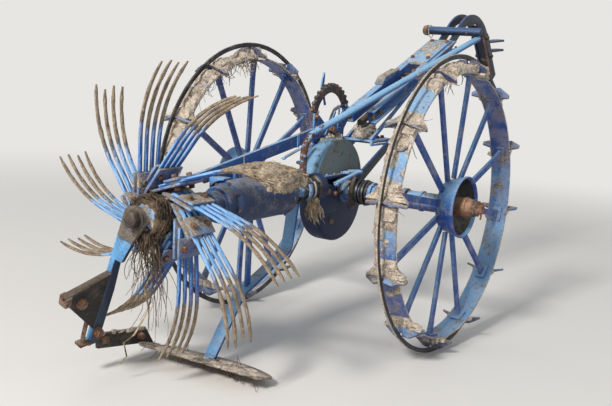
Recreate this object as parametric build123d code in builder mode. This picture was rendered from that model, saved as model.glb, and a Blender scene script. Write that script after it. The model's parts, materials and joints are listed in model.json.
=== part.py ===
from build123d import *
from math import asin, atan2, cos, hypot, radians, sin, tan
import os

# Towed spinner potato digger, a two-wheeled machine whose rotor is driven from the ground
# Millimetres, +X forward, +Y to the machine's left, +Z up
# Most pieces are set out in the chassis frame: its origin is the middle of the axle,
# x runs forward along the rotor shaft, y to the left and z up, square to the shaft

# Land wheels
ring_depth = 28            # radial height of the flat bar ring
ring_thick = 9
track = 952                # between the middles of the two rims
rim_radius = 500           # outside of the rim band
rim_width = 80
rim_thick = 8
lug_height = 41            # of the lug's tip above the rim
lug_thick = 8
lug_base = 156             # across the rim
lug_tip = 62               # across the ring
lug_chevron = 16           # degrees that each wing is turned
lug_lean = 26              # degrees that the lug leans back from the radius
lug_proud = 9              # of the lug's tip beyond the ring's inside
lug_edge = 10              # height of the lug's ends above the rim
lug_root_sink = 8          # of the uncut lug below the rim's outside
spoke_count = 12           # and as many lugs, one over each spoke
spoke_width = 25
spoke_thick = 12
spoke_taper = 60           # length of the widening at the spoke's outer end
spoke_foot_width = 36
foot_thick = 8             # of the foot turned on to the rim band
foot_width = 40            # across the rim
foot_arc = 7               # degrees of the rim that the foot covers
hub_back_radius = 95
hub_mouth_radius = 116
hub_shell_back = -16       # outboard from the rim's middle
hub_shell_mouth = 64
hub_shell_wall = 7
boss_radius = 37
boss_end = 96
boss_chamfer = 5
boss_collar = 9            # of the collar behind the shell beyond the boss
boss_collar_thick = 12
sleeve_radius = 35
sleeve_end = -170          # inboard end of the wheel's sleeve
running_fit = 0.05         # radial clearance of a turning bore
end_play = 1.0
touch_gap = 0.3            # between curved faces that rest on each other
wheel_phase = {"right": 9.0, "left": 1.0}

ring_radius = rim_radius + lug_height - lug_proud + ring_depth     # it rolls on hard ground

# Axle
axle_radius = 19
axle_nut_across = 50
axle_nut_thick = 22
axle_stub = 16             # of the axle beyond its nut
axle_tube_radius = 34
axle_root_radius = 40      # of the tube between the collar and the gear case
axle_collar_radius = 52
axle_collar_thick = 26
axle_collar_out = 120      # of the collar from the gear case
axle_flange_thick = 14
tube_gap = 6               # between the fixed tube and the wheel's sleeve
tube_rib = 8               # height of the rib at the tube's end
tube_rib_width = 18

# Gear case
case_right = -14
case_left = 72
case_rear = -200
case_front = 148
case_split = 62            # height of the joint between lower case and cover
case_depth = 204           # below the axle
lip_thick = 7
lip_out = 11
cover_height = 142
cover_round = 12
cover_set_in = 4           # of the cover's foot from the case's walls
cover_side = 6             # of the cover's cheeks from the case's cheeks
neck_seat = 30             # depth of the neck's seat in the case
case_round = 14
recess_height = 28         # of the recess in the case's right wall, under the lip
recess_depth = 20

# Rotor shaft and its housing
shaft_rise = 28            # of the shaft's middle above the axle's
shaft_radius = 22.5
neck_radius = 50
neck_flange_radius = 62
neck_flange_thick = 16
neck_rim = 12              # of the neck's own flange
drum_front = -398
drum_rear = -752
drum_radius = 76
drum_cone = 26
collar_radius = 62
collar_length = 48
seal_radius = 44
seal_length = 40
bearing_depth = 70
shaft_end_gap = 3          # between the shaft's front end and the bearing's floor

# Rotor
hub_radius = 54
hub_gap = 90               # of bare shaft between the drum's seal and the hub's sleeve
hub_length = 158
hub_disc_radius = 84
hub_disc_thick = 14
hub_chamfer = 8
hub_sleeve = 14            # wall of the sleeve ahead of the disc
hub_sleeve_length = 40
arm_count = 10
arm_phase = 17.5           # degrees of the first arm's tips from the left towards the top
tines_per_arm = 4
tine_offset = 84           # of the tines' straight roots behind the line from the shaft to their tips
tine_root = 28             # along that line, from the shaft
tine_straight = 198
tine_bend_radius = 396
tine_bend = 38             # degrees
tine_thick = 10
tine_tip_thick = 6
tine_width = 16
tine_root_pitch = 24
tine_tip_pitch = 39
tine_lead = 24             # of the tips' middle ahead of the roots' middle
clamp_length = 122         # of the carrying plates, outward from the line through the shaft
clamp_width = 108
clamp_cover = 62           # length of the plates over the tines
clamp_thick = 8

# Rear arm and share
arm_head_radius = 41
arm_head_spot = (5, 10)    # of the head's middle from the shaft's, down the arm and to its left
arm_bore_play = 0.05
arm_thick = 16             # of the arm's upright plate, across the shaft
arm_left = 50              # of the arm's left edge from the line through the shaft
arm_plate_bottom = 170     # down the arm to the plate's lower end
arm_plate_right = [(4, 0.96), (-15, 0.4), (-28, 0.12)]  # its right edge: offset and share of the way down
arm_bar_thick = 20
arm_bar_top = 70           # down the arm to the bar's upper end
arm_bar_knee = 300
arm_bar_ahead = (8, 28)    # of the bar's front edge ahead of the plate, at its top and below its knee
arm_gap = 20               # between the hub and the arm
arm_reach = 46             # of the arm's foot ahead of its head
shaft_in_arm = 20          # of the shaft's end behind the arm's front face
foot_y = 209
foot_z = -440
gusset_spots = [(297, 0), (260, 187), (231, 162), (70, 0)]  # up from the arm's foot, and behind the arm
gusset_thick = 10
cap_across = 46            # across the flats of the bolt on the shaft's end
cap_thick = 24
bar_y = 245
bar_thick = 14
bar_depth = 52
bar_nose = 46              # of the bar on the share beyond its top end
bar_rear_top = -398
bar_front_x = -862
bar_front_top = -428
share_rear_x = -888
share_length = 196
share_slope = 15
share_right = -262
share_left = 242
share_thick = 9
share_straight = 88        # of the share's straight ends
stay_width = 46
stay_thick = 12
stay_top_x = -334
stay_knee = (-368, -190)
stay_heel = (-650, -306)
stay_bend = 40
stay_foot = 70             # of the stay's end ahead of the share's rear edge
stay_sink = 20             # of its uncut ends beyond what they meet
hanger_x = -606
hanger_width = 26
hanger_thick = 10

# Main beam and drawbar
beam_y = 60                # of the beam's upright web
shelf_front = -122
beam_rear = (-840, 124)
beam_front = (-70, 252)
beam_depth = 46
beam_shelf = 16
beam_thick = 7
saddle_x = -742
saddle_length = 42
saddle_thick = 8
saddle_foot = 20           # height of the saddle's foot above the shaft's middle
beam_heel = (54, 34)       # back and down from the beam's rear corner to its lower one
ledge_rear = 110
ledge_front = 278
ledge_z = 196
ledge_right = 66
ledge_left = 96
ledge_thick = 8
ledge_drop = 24
ledge_slot_length = 130
ledge_slot_width = 8
draw_slope = 22.5
draw_start = (112, 309)
draw_length = 800
draw_depth = 54
draw_web = 7
draw_flange = 26
block_half = 34
block_front = 206
block_rear = 120
block_top = 322
block_step = (34, 290)     # ahead of the block's rear face, and height there
block_rear_top = 262
rod_radius = 15
rod_length = 380
rod_z = 292                # where the rod leaves the block
rod_sink = 10              # of its uncut end in the block
rod_head = 40              # height of the crosspiece at its upper end
rod_head_thick = 20
strut_width = 34           # along the machine at the strut's top
strut_thick = 10
strut_foot = (-12, 14)     # from the axle's middle to the foot's rear and front
strut_low = 22             # height of the foot above the axle's middle
strut_back = 60            # height of the foot's rear edge
strut_top_gap = 6          # below the ledge's top
under_bar_y = 56
under_bar_thick = 12
under_bar_set_in = 8      # of its rear end from the ledge's
under_bar_foot = (20, 7)   # length and height of its rear end on the ledge
under_bar_end = (314, 324, 336)    # along the channel: rear edge, bend and front edge
under_bar_drop = 8         # of the bend below the channel
plate_length = 260
plate_end_gap = 15         # from the plate's end to the channels' end
plate_thick = 8
plate_set_in = 16          # of the plate's sides from the channels' flanges
cap_start = 262
cap_length = 158
cap_rise = (6, 24, 10)     # height at its rear end, its peak and its front end
cap_peak = 36              # of the peak from the rear end
cap_overhang = 6
cap_lap = 8                # over the channel's web

# Hitch
strap_y = 27
strap_thick = 10
strap_depth = 42
strap_corners = [(-61, -82), (299, 200), (577, -169)]     # from the drawbar's upper front corner
strap_bend = 217
spacer_half = 8            # of the spacers' thickness between the straps
spacer_length = 64         # of the one between the drawbar's channels
jaw_half = 31
jaw_thick = 10
jaw_gap = 38
jaw_length = 236
jaw_bore = 13
jaw_up = 187               # of the jaws' middle above the front limb's end
jaw_rise = 4               # degrees
jaw_root = 20              # of the uncut plates behind the front limb's middle
pad_thick = 9
pad_height = 128
cross_radius = 19
cross_right = -172
cross_left = 96
cross_head_radius = 24
cross_head_length = 26
cross_place = 152          # up the rear limb from its foot

# Lever and toothed quadrant
lever_radius = 13.5
lever_foot = (-297, -8)
lever_bend = 222
lever_past = 19            # of the lever's tip ahead of the cross pin
lever_tip_y = -150
lever_fillet = 88
boss_height = 10           # of the lever's boss above the neck
boss_plan = (52, 44)       # along and across the machine
bracket_y = 67.3           # of the bracket's right face, beside the cover and the channel
quadrant_x = 18
quadrant_z = 272
quadrant_radius = 138
quadrant_band = 30
quadrant_thick = 14
tooth_count = 15
tooth_height = 8
tooth_width = 12
tooth_sink = 4             # of the tooth in the ring
bracket_thick = 8
bracket_foot = (-100, 96)  # rear and front of its foot on the case's lip
bracket_ear = (-118, -92, 300)     # rear edge, front edge and top of its rear ear
bracket_saddle = (-40, 60, 262)    # rear end, front end and height of its low middle
bracket_arm = [(120, 330), (168, 300), (110, 232)]   # round its arm on the drawbar
bracket_shoulder = 236
latch_length = 116
latch_width = 22
latch_thick = 8
latch_start = 60           # from the quadrant's middle
latch_lean = 112           # degrees above straight ahead

# Places along the shaft, from the drum backwards
collar_rear = drum_rear - collar_length
seal_rear = collar_rear - seal_length
hub_rear = seal_rear - hub_gap - hub_sleeve_length - hub_disc_thick - hub_length
hub_front = hub_rear + hub_length
tine_root_middle = hub_front - clamp_width / 2
tine_tip_middle = tine_root_middle + tine_lead
arm_top_x = hub_rear - arm_gap
foot_x = arm_top_x + arm_reach
shaft_rear = arm_top_x - shaft_in_arm

# Parking: the share's point rests on the ground behind the wheels
share_angle = radians(share_slope)
share_point_x = share_rear_x + share_length * cos(share_angle)
share_top_z = bar_front_top - bar_depth
share_point_z = share_top_z - share_length * sin(share_angle) - share_thick * cos(share_angle)
share_reach = hypot(share_point_x, share_point_z)
park_angle = asin(ring_radius / share_reach) - atan2(-share_point_z, -share_point_x)

forward = Vector(cos(park_angle), 0, sin(park_angle))
left = Vector(0, 1, 0)
upward = Vector(-sin(park_angle), 0, cos(park_angle))
axle_middle = Vector(0, 0, ring_radius)
axle_line = Axis(axle_middle, left)
shaft_line = Axis(axle_middle + upward * shaft_rise, forward)


def at(x, y, z):
    """Point of the chassis frame."""
    return axle_middle + forward * x + left * y + upward * z


def side(y):
    """Upright plane along the machine, x forward and y up, facing right."""
    return Plane(origin=at(0, y, 0), x_dir=forward, z_dir=-left)


def across(x, up=shaft_rise):
    """Upright plane across the machine at the shaft, x to the left and y up, facing forward."""
    return Plane(origin=at(x, 0, up), x_dir=left, z_dir=forward)


def level(z):
    """Plane over the machine, x forward and y to the left."""
    return Plane(origin=at(0, 0, z), x_dir=forward, z_dir=upward)


def shaft_section():
    """Plane through the shaft's line, x forward and y away from the shaft."""
    return Plane(origin=at(0, 0, shaft_rise), x_dir=forward, z_dir=-left)


pieces = {}

# Land wheels: one section and one lug and spoke each, turned round the axle
for side_name, hand in (("right", -1), ("left", 1)):
    middle = Vector(0, hand * track / 2, ring_radius)
    section = Plane(origin=middle, x_dir=(0, hand, 0), z_dir=(hand, 0, 0))
    rim_inner = rim_radius - rim_thick
    spoke_turns = [wheel_phase[side_name] + 360 * k / spoke_count for k in range(spoke_count)]

    # Rim, a flat band
    with BuildPart() as rim:
        with BuildSketch(section):
            with Locations((0, rim_radius - rim_thick / 2)):
                Rectangle(rim_width, rim_thick)
        revolve(axis=axle_line)
    pieces[f"wheel_{side_name}_rim"] = rim

    # Outer ring on the tips of the lugs
    with BuildPart() as ring:
        with BuildSketch(section):
            with Locations((0, ring_radius - ring_depth / 2)):
                Rectangle(ring_thick, ring_depth)
        revolve(axis=axle_line)
    pieces[f"wheel_{side_name}_ring"] = ring

    # One lug: a leaning plate in a shallow chevron, narrowed from the rim to the ring
    lug_middle = middle + Vector(0, 0, rim_radius - lug_root_sink)
    lug_root = Plane(origin=lug_middle, x_dir=(0, hand, 0), z_dir=(0, 0, 1))
    wing = lug_base / 2
    sweep_back = wing * tan(radians(lug_chevron))
    lean = Vector(-sin(radians(lug_lean)), 0, cos(radians(lug_lean)))
    with BuildPart() as lug:
        with BuildSketch(lug_root):
            with BuildLine():
                Polyline(
                    (-wing, hand * sweep_back),
                    (0, 0),
                    (wing, hand * sweep_back),
                    (wing, hand * (sweep_back + lug_thick)),
                    (0, hand * lug_thick),
                    (-wing, hand * (sweep_back + lug_thick)),
                    close=True,
                )
            make_face()
        extrude(amount=(lug_height + lug_root_sink) / cos(radians(lug_lean)), dir=lean)
        with BuildSketch(section):
            with BuildLine():
                Polyline(
                    (-wing, rim_radius - 2 * lug_root_sink),
                    (wing, rim_radius - 2 * lug_root_sink),
                    (wing, rim_radius + lug_edge),
                    (lug_tip / 2, rim_radius + lug_height),
                    (-lug_tip / 2, rim_radius + lug_height),
                    (-wing, rim_radius + lug_edge),
                    close=True,
                )
            make_face()
        extrude(amount=ring_radius / 3, both=True, mode=Mode.INTERSECT)
        with BuildSketch(section):
            with Locations((0, rim_radius / 2)):
                Rectangle(2 * lug_base, rim_radius)
        revolve(axis=axle_line, mode=Mode.SUBTRACT)
        with BuildSketch(section):
            with Locations((0, ring_radius - ring_depth / 2)):
                Rectangle(ring_thick, ring_depth)
        revolve(axis=axle_line, mode=Mode.SUBTRACT)
    with BuildPart() as lugs:
        for turn in spoke_turns:
            add(lug.part.rotate(axle_line, turn))
    pieces[f"wheel_{side_name}_lugs"] = lugs

    # Hub shell, a bell open on the outboard side
    shell_slope = (hub_mouth_radius - hub_back_radius) / (hub_shell_mouth - hub_shell_back)
    with BuildPart() as hub_shell:
        with BuildSketch(section):
            with BuildLine():
                Polyline(
                    (hub_shell_back, boss_radius),
                    (hub_shell_back, hub_back_radius),
                    (hub_shell_mouth, hub_mouth_radius),
                    (hub_shell_mouth, hub_mouth_radius - hub_shell_wall),
                    (hub_shell_back + hub_shell_wall, hub_back_radius - hub_shell_wall),
                    (hub_shell_back + hub_shell_wall, boss_radius),
                    close=True,
                )
            make_face()
        revolve(axis=axle_line)
    pieces[f"wheel_{side_name}_hub_shell"] = hub_shell

    # Spokes, flat bars from the shell to the rim, each with a foot turned on to the band
    spoke_outer = rim_inner - foot_thick / 2
    spoke_shell_radius = hub_back_radius + shell_slope * (spoke_thick / 2 - hub_shell_back)
    spoke_face = middle + Vector(0, hand * spoke_thick / 2, 0)
    spoke_plane = Plane(origin=spoke_face, x_dir=(1, 0, 0), z_dir=(0, -hand, 0))
    with BuildPart() as spoke:
        with BuildSketch(spoke_plane):
            with BuildLine():
                Polyline(
                    (-spoke_width / 2, hand * -spoke_shell_radius),
                    (spoke_width / 2, hand * -spoke_shell_radius),
                    (spoke_width / 2, hand * -(spoke_outer - spoke_taper)),
                    (spoke_foot_width / 2, hand * -spoke_outer),
                    (-spoke_foot_width / 2, hand * -spoke_outer),
                    (-spoke_width / 2, hand * -(spoke_outer - spoke_taper)),
                    close=True,
                )
            make_face()
        extrude(amount=spoke_thick)
        with BuildSketch(section):
            with Locations((0, rim_inner - foot_thick / 2)):
                Rectangle(foot_width, foot_thick)
        revolve(axis=axle_line, revolution_arc=foot_arc / 2)
        mirror(about=Plane(origin=middle, z_dir=(1, 0, 0)))
    with BuildPart() as spokes:
        for turn in spoke_turns:
            add(spoke.part.rotate(axle_line, turn))
    pieces[f"wheel_{side_name}_spokes"] = spokes

    # Hub boss and the sleeve behind it, bored to run on the axle
    bore = axle_radius + running_fit
    with BuildPart() as hub_boss:
        with BuildSketch(section):
            with BuildLine():
                Polyline(
                    (sleeve_end, bore),
                    (boss_end, bore),
                    (boss_end, boss_radius - boss_chamfer),
                    (boss_end - boss_chamfer, boss_radius),
                    (hub_shell_back, boss_radius),
                    (hub_shell_back, boss_radius + boss_collar),
                    (hub_shell_back - boss_collar_thick, boss_radius + boss_collar),
                    (hub_shell_back - boss_collar_thick, sleeve_radius),
                    (sleeve_end, sleeve_radius),
                    close=True,
                )
            make_face()
        revolve(axis=axle_line)
    pieces[f"wheel_{side_name}_hub_boss"] = hub_boss

# Axle through both wheels, with the nuts that keep them on
nut_inner = track / 2 + boss_end + end_play
axle_end = nut_inner + axle_nut_thick + axle_stub
with BuildPart() as axle:
    with BuildSketch(Plane(origin=axle_middle, x_dir=(1, 0, 0), z_dir=(0, 1, 0))):
        Circle(axle_radius)
    extrude(amount=axle_end, both=True)
    for hand in (-1, 1):
        nut_middle = axle_middle + left * (hand * nut_inner)
        with BuildSketch(Plane(origin=nut_middle, x_dir=(1, 0, 0), z_dir=(0, hand, 0))):
            RegularPolygon(axle_nut_across / 2, 6, major_radius=False)
        extrude(amount=axle_nut_thick)
pieces["axle"] = axle

# Fixed tubes round the axle, each with a bearing collar
tube_end = track / 2 + sleeve_end - tube_gap
for side_name, hand, start in (("right", -1, -case_right), ("left", 1, case_left)):
    with BuildPart() as axle_tube:
        with BuildSketch(Plane(origin=axle_middle, x_dir=(0, hand, 0), z_dir=(hand, 0, 0))):
            with BuildLine():
                Polyline(
                    (start, axle_radius),
                    (tube_end, axle_radius),
                    (tube_end, axle_tube_radius + tube_rib),
                    (tube_end - tube_rib_width, axle_tube_radius + tube_rib),
                    (tube_end - tube_rib_width, axle_tube_radius),
                    (start + axle_collar_out, axle_tube_radius),
                    (start + axle_collar_out, axle_collar_radius),
                    (start + axle_collar_out - axle_collar_thick, axle_collar_radius),
                    (start + axle_collar_out - axle_collar_thick, axle_root_radius),
                    (start + axle_flange_thick, axle_root_radius),
                    (start + axle_flange_thick, axle_collar_radius),
                    (start, axle_collar_radius),
                    close=True,
                )
            make_face()
        revolve(axis=axle_line)
    pieces[f"axle_tube_{side_name}"] = axle_tube

# Lower gear case, a deep pot with a lip at the joint, a recess under it and a round seat for the neck
case_middle = (case_rear + case_front) / 2
case_half = (case_front - case_rear) / 2
with BuildPart() as gear_case:
    with BuildSketch(side(case_left)):
        with BuildLine():
            Line((case_rear, case_half - case_depth), (case_rear, case_split))
            Line((case_rear, case_split), (case_front, case_split))
            Line((case_front, case_split), (case_front, case_half - case_depth))
            ThreePointArc(
                (case_front, case_half - case_depth),
                (case_middle, -case_depth),
                (case_rear, case_half - case_depth),
            )
        make_face()
    extrude(amount=case_left - case_right)
    fillet(gear_case.faces().filter_by(Axis.Y).edges().filter_by(GeomType.CIRCLE), case_round)
    with BuildSketch(side(case_right + recess_depth)):
        with Locations((case_middle, case_split - lip_thick - recess_height / 2)):
            Rectangle(case_front - case_rear + 2, recess_height)
    extrude(amount=recess_depth + 1, mode=Mode.SUBTRACT)
    with BuildSketch(side(case_left + lip_out)):
        with Locations((case_middle, case_split - lip_thick / 2)):
            Rectangle(case_front - case_rear + 2 * lip_out, lip_thick)
    extrude(amount=case_left - case_right + 2 * lip_out)
    with BuildSketch(across(case_rear - neck_flange_thick)):
        Circle(neck_flange_radius)
    extrude(amount=neck_flange_thick + neck_seat)
    with BuildSketch(side(case_left + lip_out + 1)):
        Circle(axle_radius)
    extrude(amount=case_left - case_right + 2 * lip_out + 2, mode=Mode.SUBTRACT)
pieces["gear_case"] = gear_case

# Gear cover, a half drum with its own lip, cut round the neck's seat
with BuildPart() as gear_cover:
    with BuildSketch(side(case_left - cover_side)):
        with BuildLine():
            Line((case_rear + cover_set_in, case_split), (case_front - cover_set_in, case_split))
            ThreePointArc(
                (case_front - cover_set_in, case_split),
                (case_middle, case_split + cover_height),
                (case_rear + cover_set_in, case_split),
            )
        make_face()
    extrude(amount=case_left - case_right - 2 * cover_side)
    fillet(gear_cover.faces().filter_by(Axis.Y).edges().filter_by(GeomType.CIRCLE), cover_round)
    with BuildSketch(side(case_left + lip_out)):
        with Locations((case_middle, case_split + lip_thick / 2)):
            Rectangle(case_front - case_rear + 2 * lip_out, lip_thick)
    extrude(amount=case_left - case_right + 2 * lip_out)
    with BuildSketch(across(case_rear - neck_flange_thick)):
        Circle(neck_flange_radius)
    extrude(amount=neck_flange_thick + neck_seat, mode=Mode.SUBTRACT)
pieces["gear_cover"] = gear_cover

# Neck of the shaft housing between the gear case and the drum
neck_front = case_rear - neck_flange_thick
with BuildPart() as shaft_neck:
    with BuildSketch(shaft_section()):
        with BuildLine():
            Polyline(
                (neck_front, 0),
                (neck_front, neck_flange_radius),
                (neck_front - neck_rim, neck_flange_radius),
                (neck_front - neck_rim, neck_radius),
                (drum_front, neck_radius),
                (drum_front, 0),
                close=True,
            )
        make_face()
    revolve(axis=shaft_line)
pieces["shaft_neck"] = shaft_neck

# Shaft drum with a coned front, a stepped collar and a bored bearing at the rear
bearing_radius = shaft_radius + running_fit
with BuildPart() as shaft_drum:
    with BuildSketch(shaft_section()):
        with BuildLine():
            Polyline(
                (drum_front, 0),
                (drum_front, neck_radius),
                (drum_front - drum_cone, drum_radius),
                (drum_rear, drum_radius),
                (drum_rear, collar_radius),
                (collar_rear, collar_radius),
                (collar_rear, seal_radius),
                (seal_rear, seal_radius),
                (seal_rear, bearing_radius),
                (seal_rear + bearing_depth, bearing_radius),
                (seal_rear + bearing_depth, 0),
                close=True,
            )
        make_face()
    revolve(axis=shaft_line)
pieces["shaft_drum"] = shaft_drum

# Rotor shaft, from its bearing in the drum to its end in the rear arm
shaft_front = seal_rear + bearing_depth - shaft_end_gap
with BuildPart() as rotor_shaft:
    with BuildSketch(across(shaft_rear)):
        Circle(shaft_radius)
    extrude(amount=shaft_front - shaft_rear)
pieces["rotor_shaft"] = rotor_shaft

# Rotor hub, a drum on the shaft with a disc at its front
with BuildPart() as rotor_hub:
    with BuildSketch(shaft_section()):
        with BuildLine():
            Polyline(
                (hub_rear, shaft_radius),
                (hub_rear, hub_radius - hub_chamfer),
                (hub_rear + hub_chamfer, hub_radius),
                (hub_front, hub_radius),
                (hub_front, hub_disc_radius),
                (hub_front + hub_disc_thick, hub_disc_radius),
                (hub_front + hub_disc_thick, shaft_radius + hub_sleeve),
                (hub_front + hub_disc_thick + hub_sleeve_length, shaft_radius + hub_sleeve),
                (hub_front + hub_disc_thick + hub_sleeve_length, shaft_radius),
                close=True,
            )
        make_face()
    revolve(axis=shaft_line)
pieces["rotor_hub"] = rotor_hub

# Tines: a tapering bar, straight beside the hub and then bent over to its tip
bend = radians(tine_bend)
bend_start = tine_root + tine_straight


def tine_edge(offset_root, offset_tip):
    """Corner, tangent point, middle and end of one edge of the tine's outline."""
    points = []
    for part, offset in ((0.0, offset_root), (0.5, (offset_root + offset_tip) / 2), (1.0, offset_tip)):
        turn = bend * part
        radius = tine_bend_radius - offset
        height = tine_bend_radius - tine_offset - radius * cos(turn)
        points.append((bend_start + radius * sin(turn), height))
    return points


lower = tine_edge(-tine_thick / 2, -tine_tip_thick / 2)
upper = tine_edge(tine_thick / 2, tine_tip_thick / 2)
root_lower = (tine_root, -tine_offset - tine_thick / 2)
root_upper = (tine_root, -tine_offset + tine_thick / 2)
tine_reach = tine_straight + tine_bend_radius * bend
for arm_number in range(arm_count):
    base_turn = arm_phase + 360 * arm_number / arm_count
    with BuildPart() as tine_arm:
        for k in range(tines_per_arm):
            step = k - (tines_per_arm - 1) / 2
            root_x = tine_root_middle + step * tine_root_pitch
            tip_x = tine_tip_middle + step * tine_tip_pitch
            splay = atan2(tip_x - root_x, tine_reach)
            outward = left * cos(radians(base_turn)) + upward * sin(radians(base_turn))
            ahead = upward * cos(radians(base_turn)) - left * sin(radians(base_turn))
            lean_out = outward * cos(splay) + forward * sin(splay)
            tine_middle = at(root_x, 0, shaft_rise)
            tine_plane = Plane(origin=tine_middle, x_dir=lean_out, z_dir=lean_out.cross(ahead))
            with BuildSketch(tine_plane):
                with BuildLine():
                    Line(root_lower, lower[0])
                    ThreePointArc(lower[0], lower[1], lower[2])
                    Line(lower[2], upper[2])
                    ThreePointArc(upper[2], upper[1], upper[0])
                    Line(upper[0], root_upper)
                    Line(root_upper, root_lower)
                make_face()
            extrude(amount=tine_width / 2, both=True)
    pieces[f"tine_arm_{arm_number + 1}"] = tine_arm

# Clamp plates that hold the tines' roots on the hub's disc, one under and one over each arm
clamp_rear = hub_front - clamp_width
clamp_away = (tine_thick + clamp_thick) / 2
with BuildPart() as tine_clamps:
    for arm_number in range(arm_count):
        base_turn = radians(arm_phase + 360 * arm_number / arm_count)
        outward = left * cos(base_turn) + upward * sin(base_turn)
        with BuildSketch(Plane(origin=at(clamp_rear, 0, shaft_rise), x_dir=outward, z_dir=forward)):
            with Locations((clamp_length / 2, clamp_away - tine_offset)):
                Rectangle(clamp_length, clamp_thick)
            with Locations((clamp_length - clamp_cover / 2, -clamp_away - tine_offset)):
                Rectangle(clamp_cover, clamp_thick)
        extrude(amount=clamp_width)
pieces["tine_clamps"] = tine_clamps

# Rear arm: an upright plate on the rotor shaft's end, and a bar on edge from it down to the share's foot
arm_drop = foot_z - shaft_rise
arm_slant = atan2(foot_x - arm_top_x, -arm_drop)
arm_up = upward * cos(arm_slant) - forward * sin(arm_slant)
arm_fall = hypot(foot_x - arm_top_x, arm_drop)
arm_turn = atan2(foot_y, arm_fall)
arm_plane = Plane(origin=at(arm_top_x, 0, shaft_rise), x_dir=left, z_dir=left.cross(arm_up))
arm_run = Vector(sin(arm_turn), -cos(arm_turn))
arm_side = Vector(cos(arm_turn), sin(arm_turn))
arm_length = hypot(foot_y, arm_fall)


def along_arm(distance, offset):
    """Point of the arm's plane, down the arm and to its left."""
    spot = arm_run * distance + arm_side * offset
    return (spot.X, spot.Y)


arm_outline = [
    along_arm(arm_head_spot[0], arm_left),
    along_arm(arm_plate_bottom, arm_left),
    *[along_arm(arm_plate_bottom * part, offset) for offset, part in arm_plate_right],
]
arm_flat = left * arm_side.X + arm_up * arm_side.Y
arm_down = left * arm_run.X + arm_up * arm_run.Y
arm_origin = at(arm_top_x, 0, shaft_rise)


def beside_arm(offset):
    """Plane along the arm's bar, x down the arm and y forward, facing right."""
    return Plane(origin=arm_origin + arm_flat * offset, x_dir=arm_down, z_dir=-arm_flat)


with BuildPart() as rear_arm:
    with BuildSketch(arm_plane):
        with BuildLine():
            Polyline(*arm_outline, close=True)
        make_face()
        with Locations(along_arm(*arm_head_spot)):
            Circle(arm_head_radius)
    extrude(amount=-arm_thick)
    with BuildSketch(beside_arm(arm_left)):
        with BuildLine():
            Polyline(
                (arm_bar_top, -arm_thick),
                (arm_bar_top, arm_bar_ahead[0]),
                (arm_bar_knee, arm_bar_ahead[1]),
                (arm_length, arm_bar_ahead[1]),
                (arm_length, -arm_thick),
                close=True,
            )
        make_face()
    extrude(amount=arm_bar_thick)
    with BuildSketch(across(shaft_rear - arm_thick)):
        Circle(shaft_radius + arm_bore_play)
    extrude(amount=4 * arm_thick, mode=Mode.SUBTRACT)
pieces["rear_arm"] = rear_arm

# Bolt head on the shaft's end, behind the arm's head
with BuildPart() as shaft_cap:
    with BuildSketch(across(shaft_rear - cap_thick)):
        RegularPolygon(cap_across / 2, 6, major_radius=False)
    extrude(amount=cap_thick)
pieces["shaft_cap"] = shaft_cap

# Gusset, a three-cornered plate on the rear edge of the arm's bar
with BuildPart() as share_gusset:
    with BuildSketch(beside_arm(arm_left - arm_bar_thick + gusset_thick)):
        with BuildLine():
            Polyline(*[(arm_length - up, -arm_thick - behind) for up, behind in gusset_spots], close=True)
        make_face()
    extrude(amount=gusset_thick)
pieces["share_gusset"] = share_gusset

# Share bar, forward from the front edge of the arm's foot to the share
def arm_front_x(z):
    """Where the front edge of the arm's bar is at a height."""
    fall = (shaft_rise + arm_bar_ahead[1] * sin(arm_slant) - z) / cos(arm_slant)
    return arm_top_x + arm_bar_ahead[1] * cos(arm_slant) + fall * sin(arm_slant)


bar_rear_bottom = bar_rear_top - bar_depth
bar_nose_x = bar_front_x + bar_nose
with BuildPart() as share_bar:
    with BuildSketch(side(bar_y + bar_thick / 2)):
        with BuildLine():
            Polyline(
                (arm_front_x(bar_rear_top), bar_rear_top),
                (bar_front_x, bar_front_top),
                (bar_nose_x, share_top_z - (bar_nose_x - share_rear_x) * tan(share_angle)),
                (share_rear_x, share_top_z),
                (arm_front_x(bar_rear_bottom), bar_rear_bottom),
                close=True,
            )
        make_face()
    extrude(amount=bar_thick)
pieces["share_bar"] = share_bar

# Share, a broad sloping blade with a rounded front
share_plane = Plane(
    origin=at(share_rear_x, 0, share_top_z),
    x_dir=forward * cos(share_angle) - upward * sin(share_angle),
    z_dir=upward * cos(share_angle) + forward * sin(share_angle),
)
with BuildPart() as share:
    with BuildSketch(share_plane):
        with BuildLine():
            Line((0, share_left), (0, share_right))
            Line((0, share_right), (share_straight, share_right))
            ThreePointArc(
                (share_straight, share_right),
                (share_length, (share_left + share_right) / 2),
                (share_straight, share_left),
            )
            Line((share_straight, share_left), (0, share_left))
        make_face()
    extrude(amount=-share_thick)
pieces["share"] = share

# Share stay, a bent flat bar from under the neck to the share
stay_foot_x = share_rear_x + stay_foot
stay_foot_z = share_top_z - stay_foot * tan(share_angle)
neck_bottom = shaft_rise - neck_radius
with BuildPart() as share_stay:
    with BuildLine(side(0)) as stay_path:
        FilletPolyline(
            (stay_top_x, neck_bottom + stay_sink),
            stay_knee,
            stay_heel,
            (stay_foot_x, stay_foot_z - stay_sink),
            radius=stay_bend,
        )
    stay_start = Plane(origin=stay_path.line @ 0, x_dir=left, z_dir=stay_path.line % 0)
    with BuildSketch(stay_start):
        Rectangle(stay_width, stay_thick)
    sweep(path=stay_path.line)
    with BuildSketch(across(drum_front)):
        Circle(neck_radius + touch_gap)
    extrude(amount=neck_front - drum_front, mode=Mode.SUBTRACT)
    with BuildSketch(share_plane):
        with Locations((stay_foot_x - share_rear_x, 0)):
            Rectangle(6 * stay_width, 2 * stay_width)
    extrude(amount=-4 * stay_thick, mode=Mode.SUBTRACT)
pieces["share_stay"] = share_stay

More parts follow.
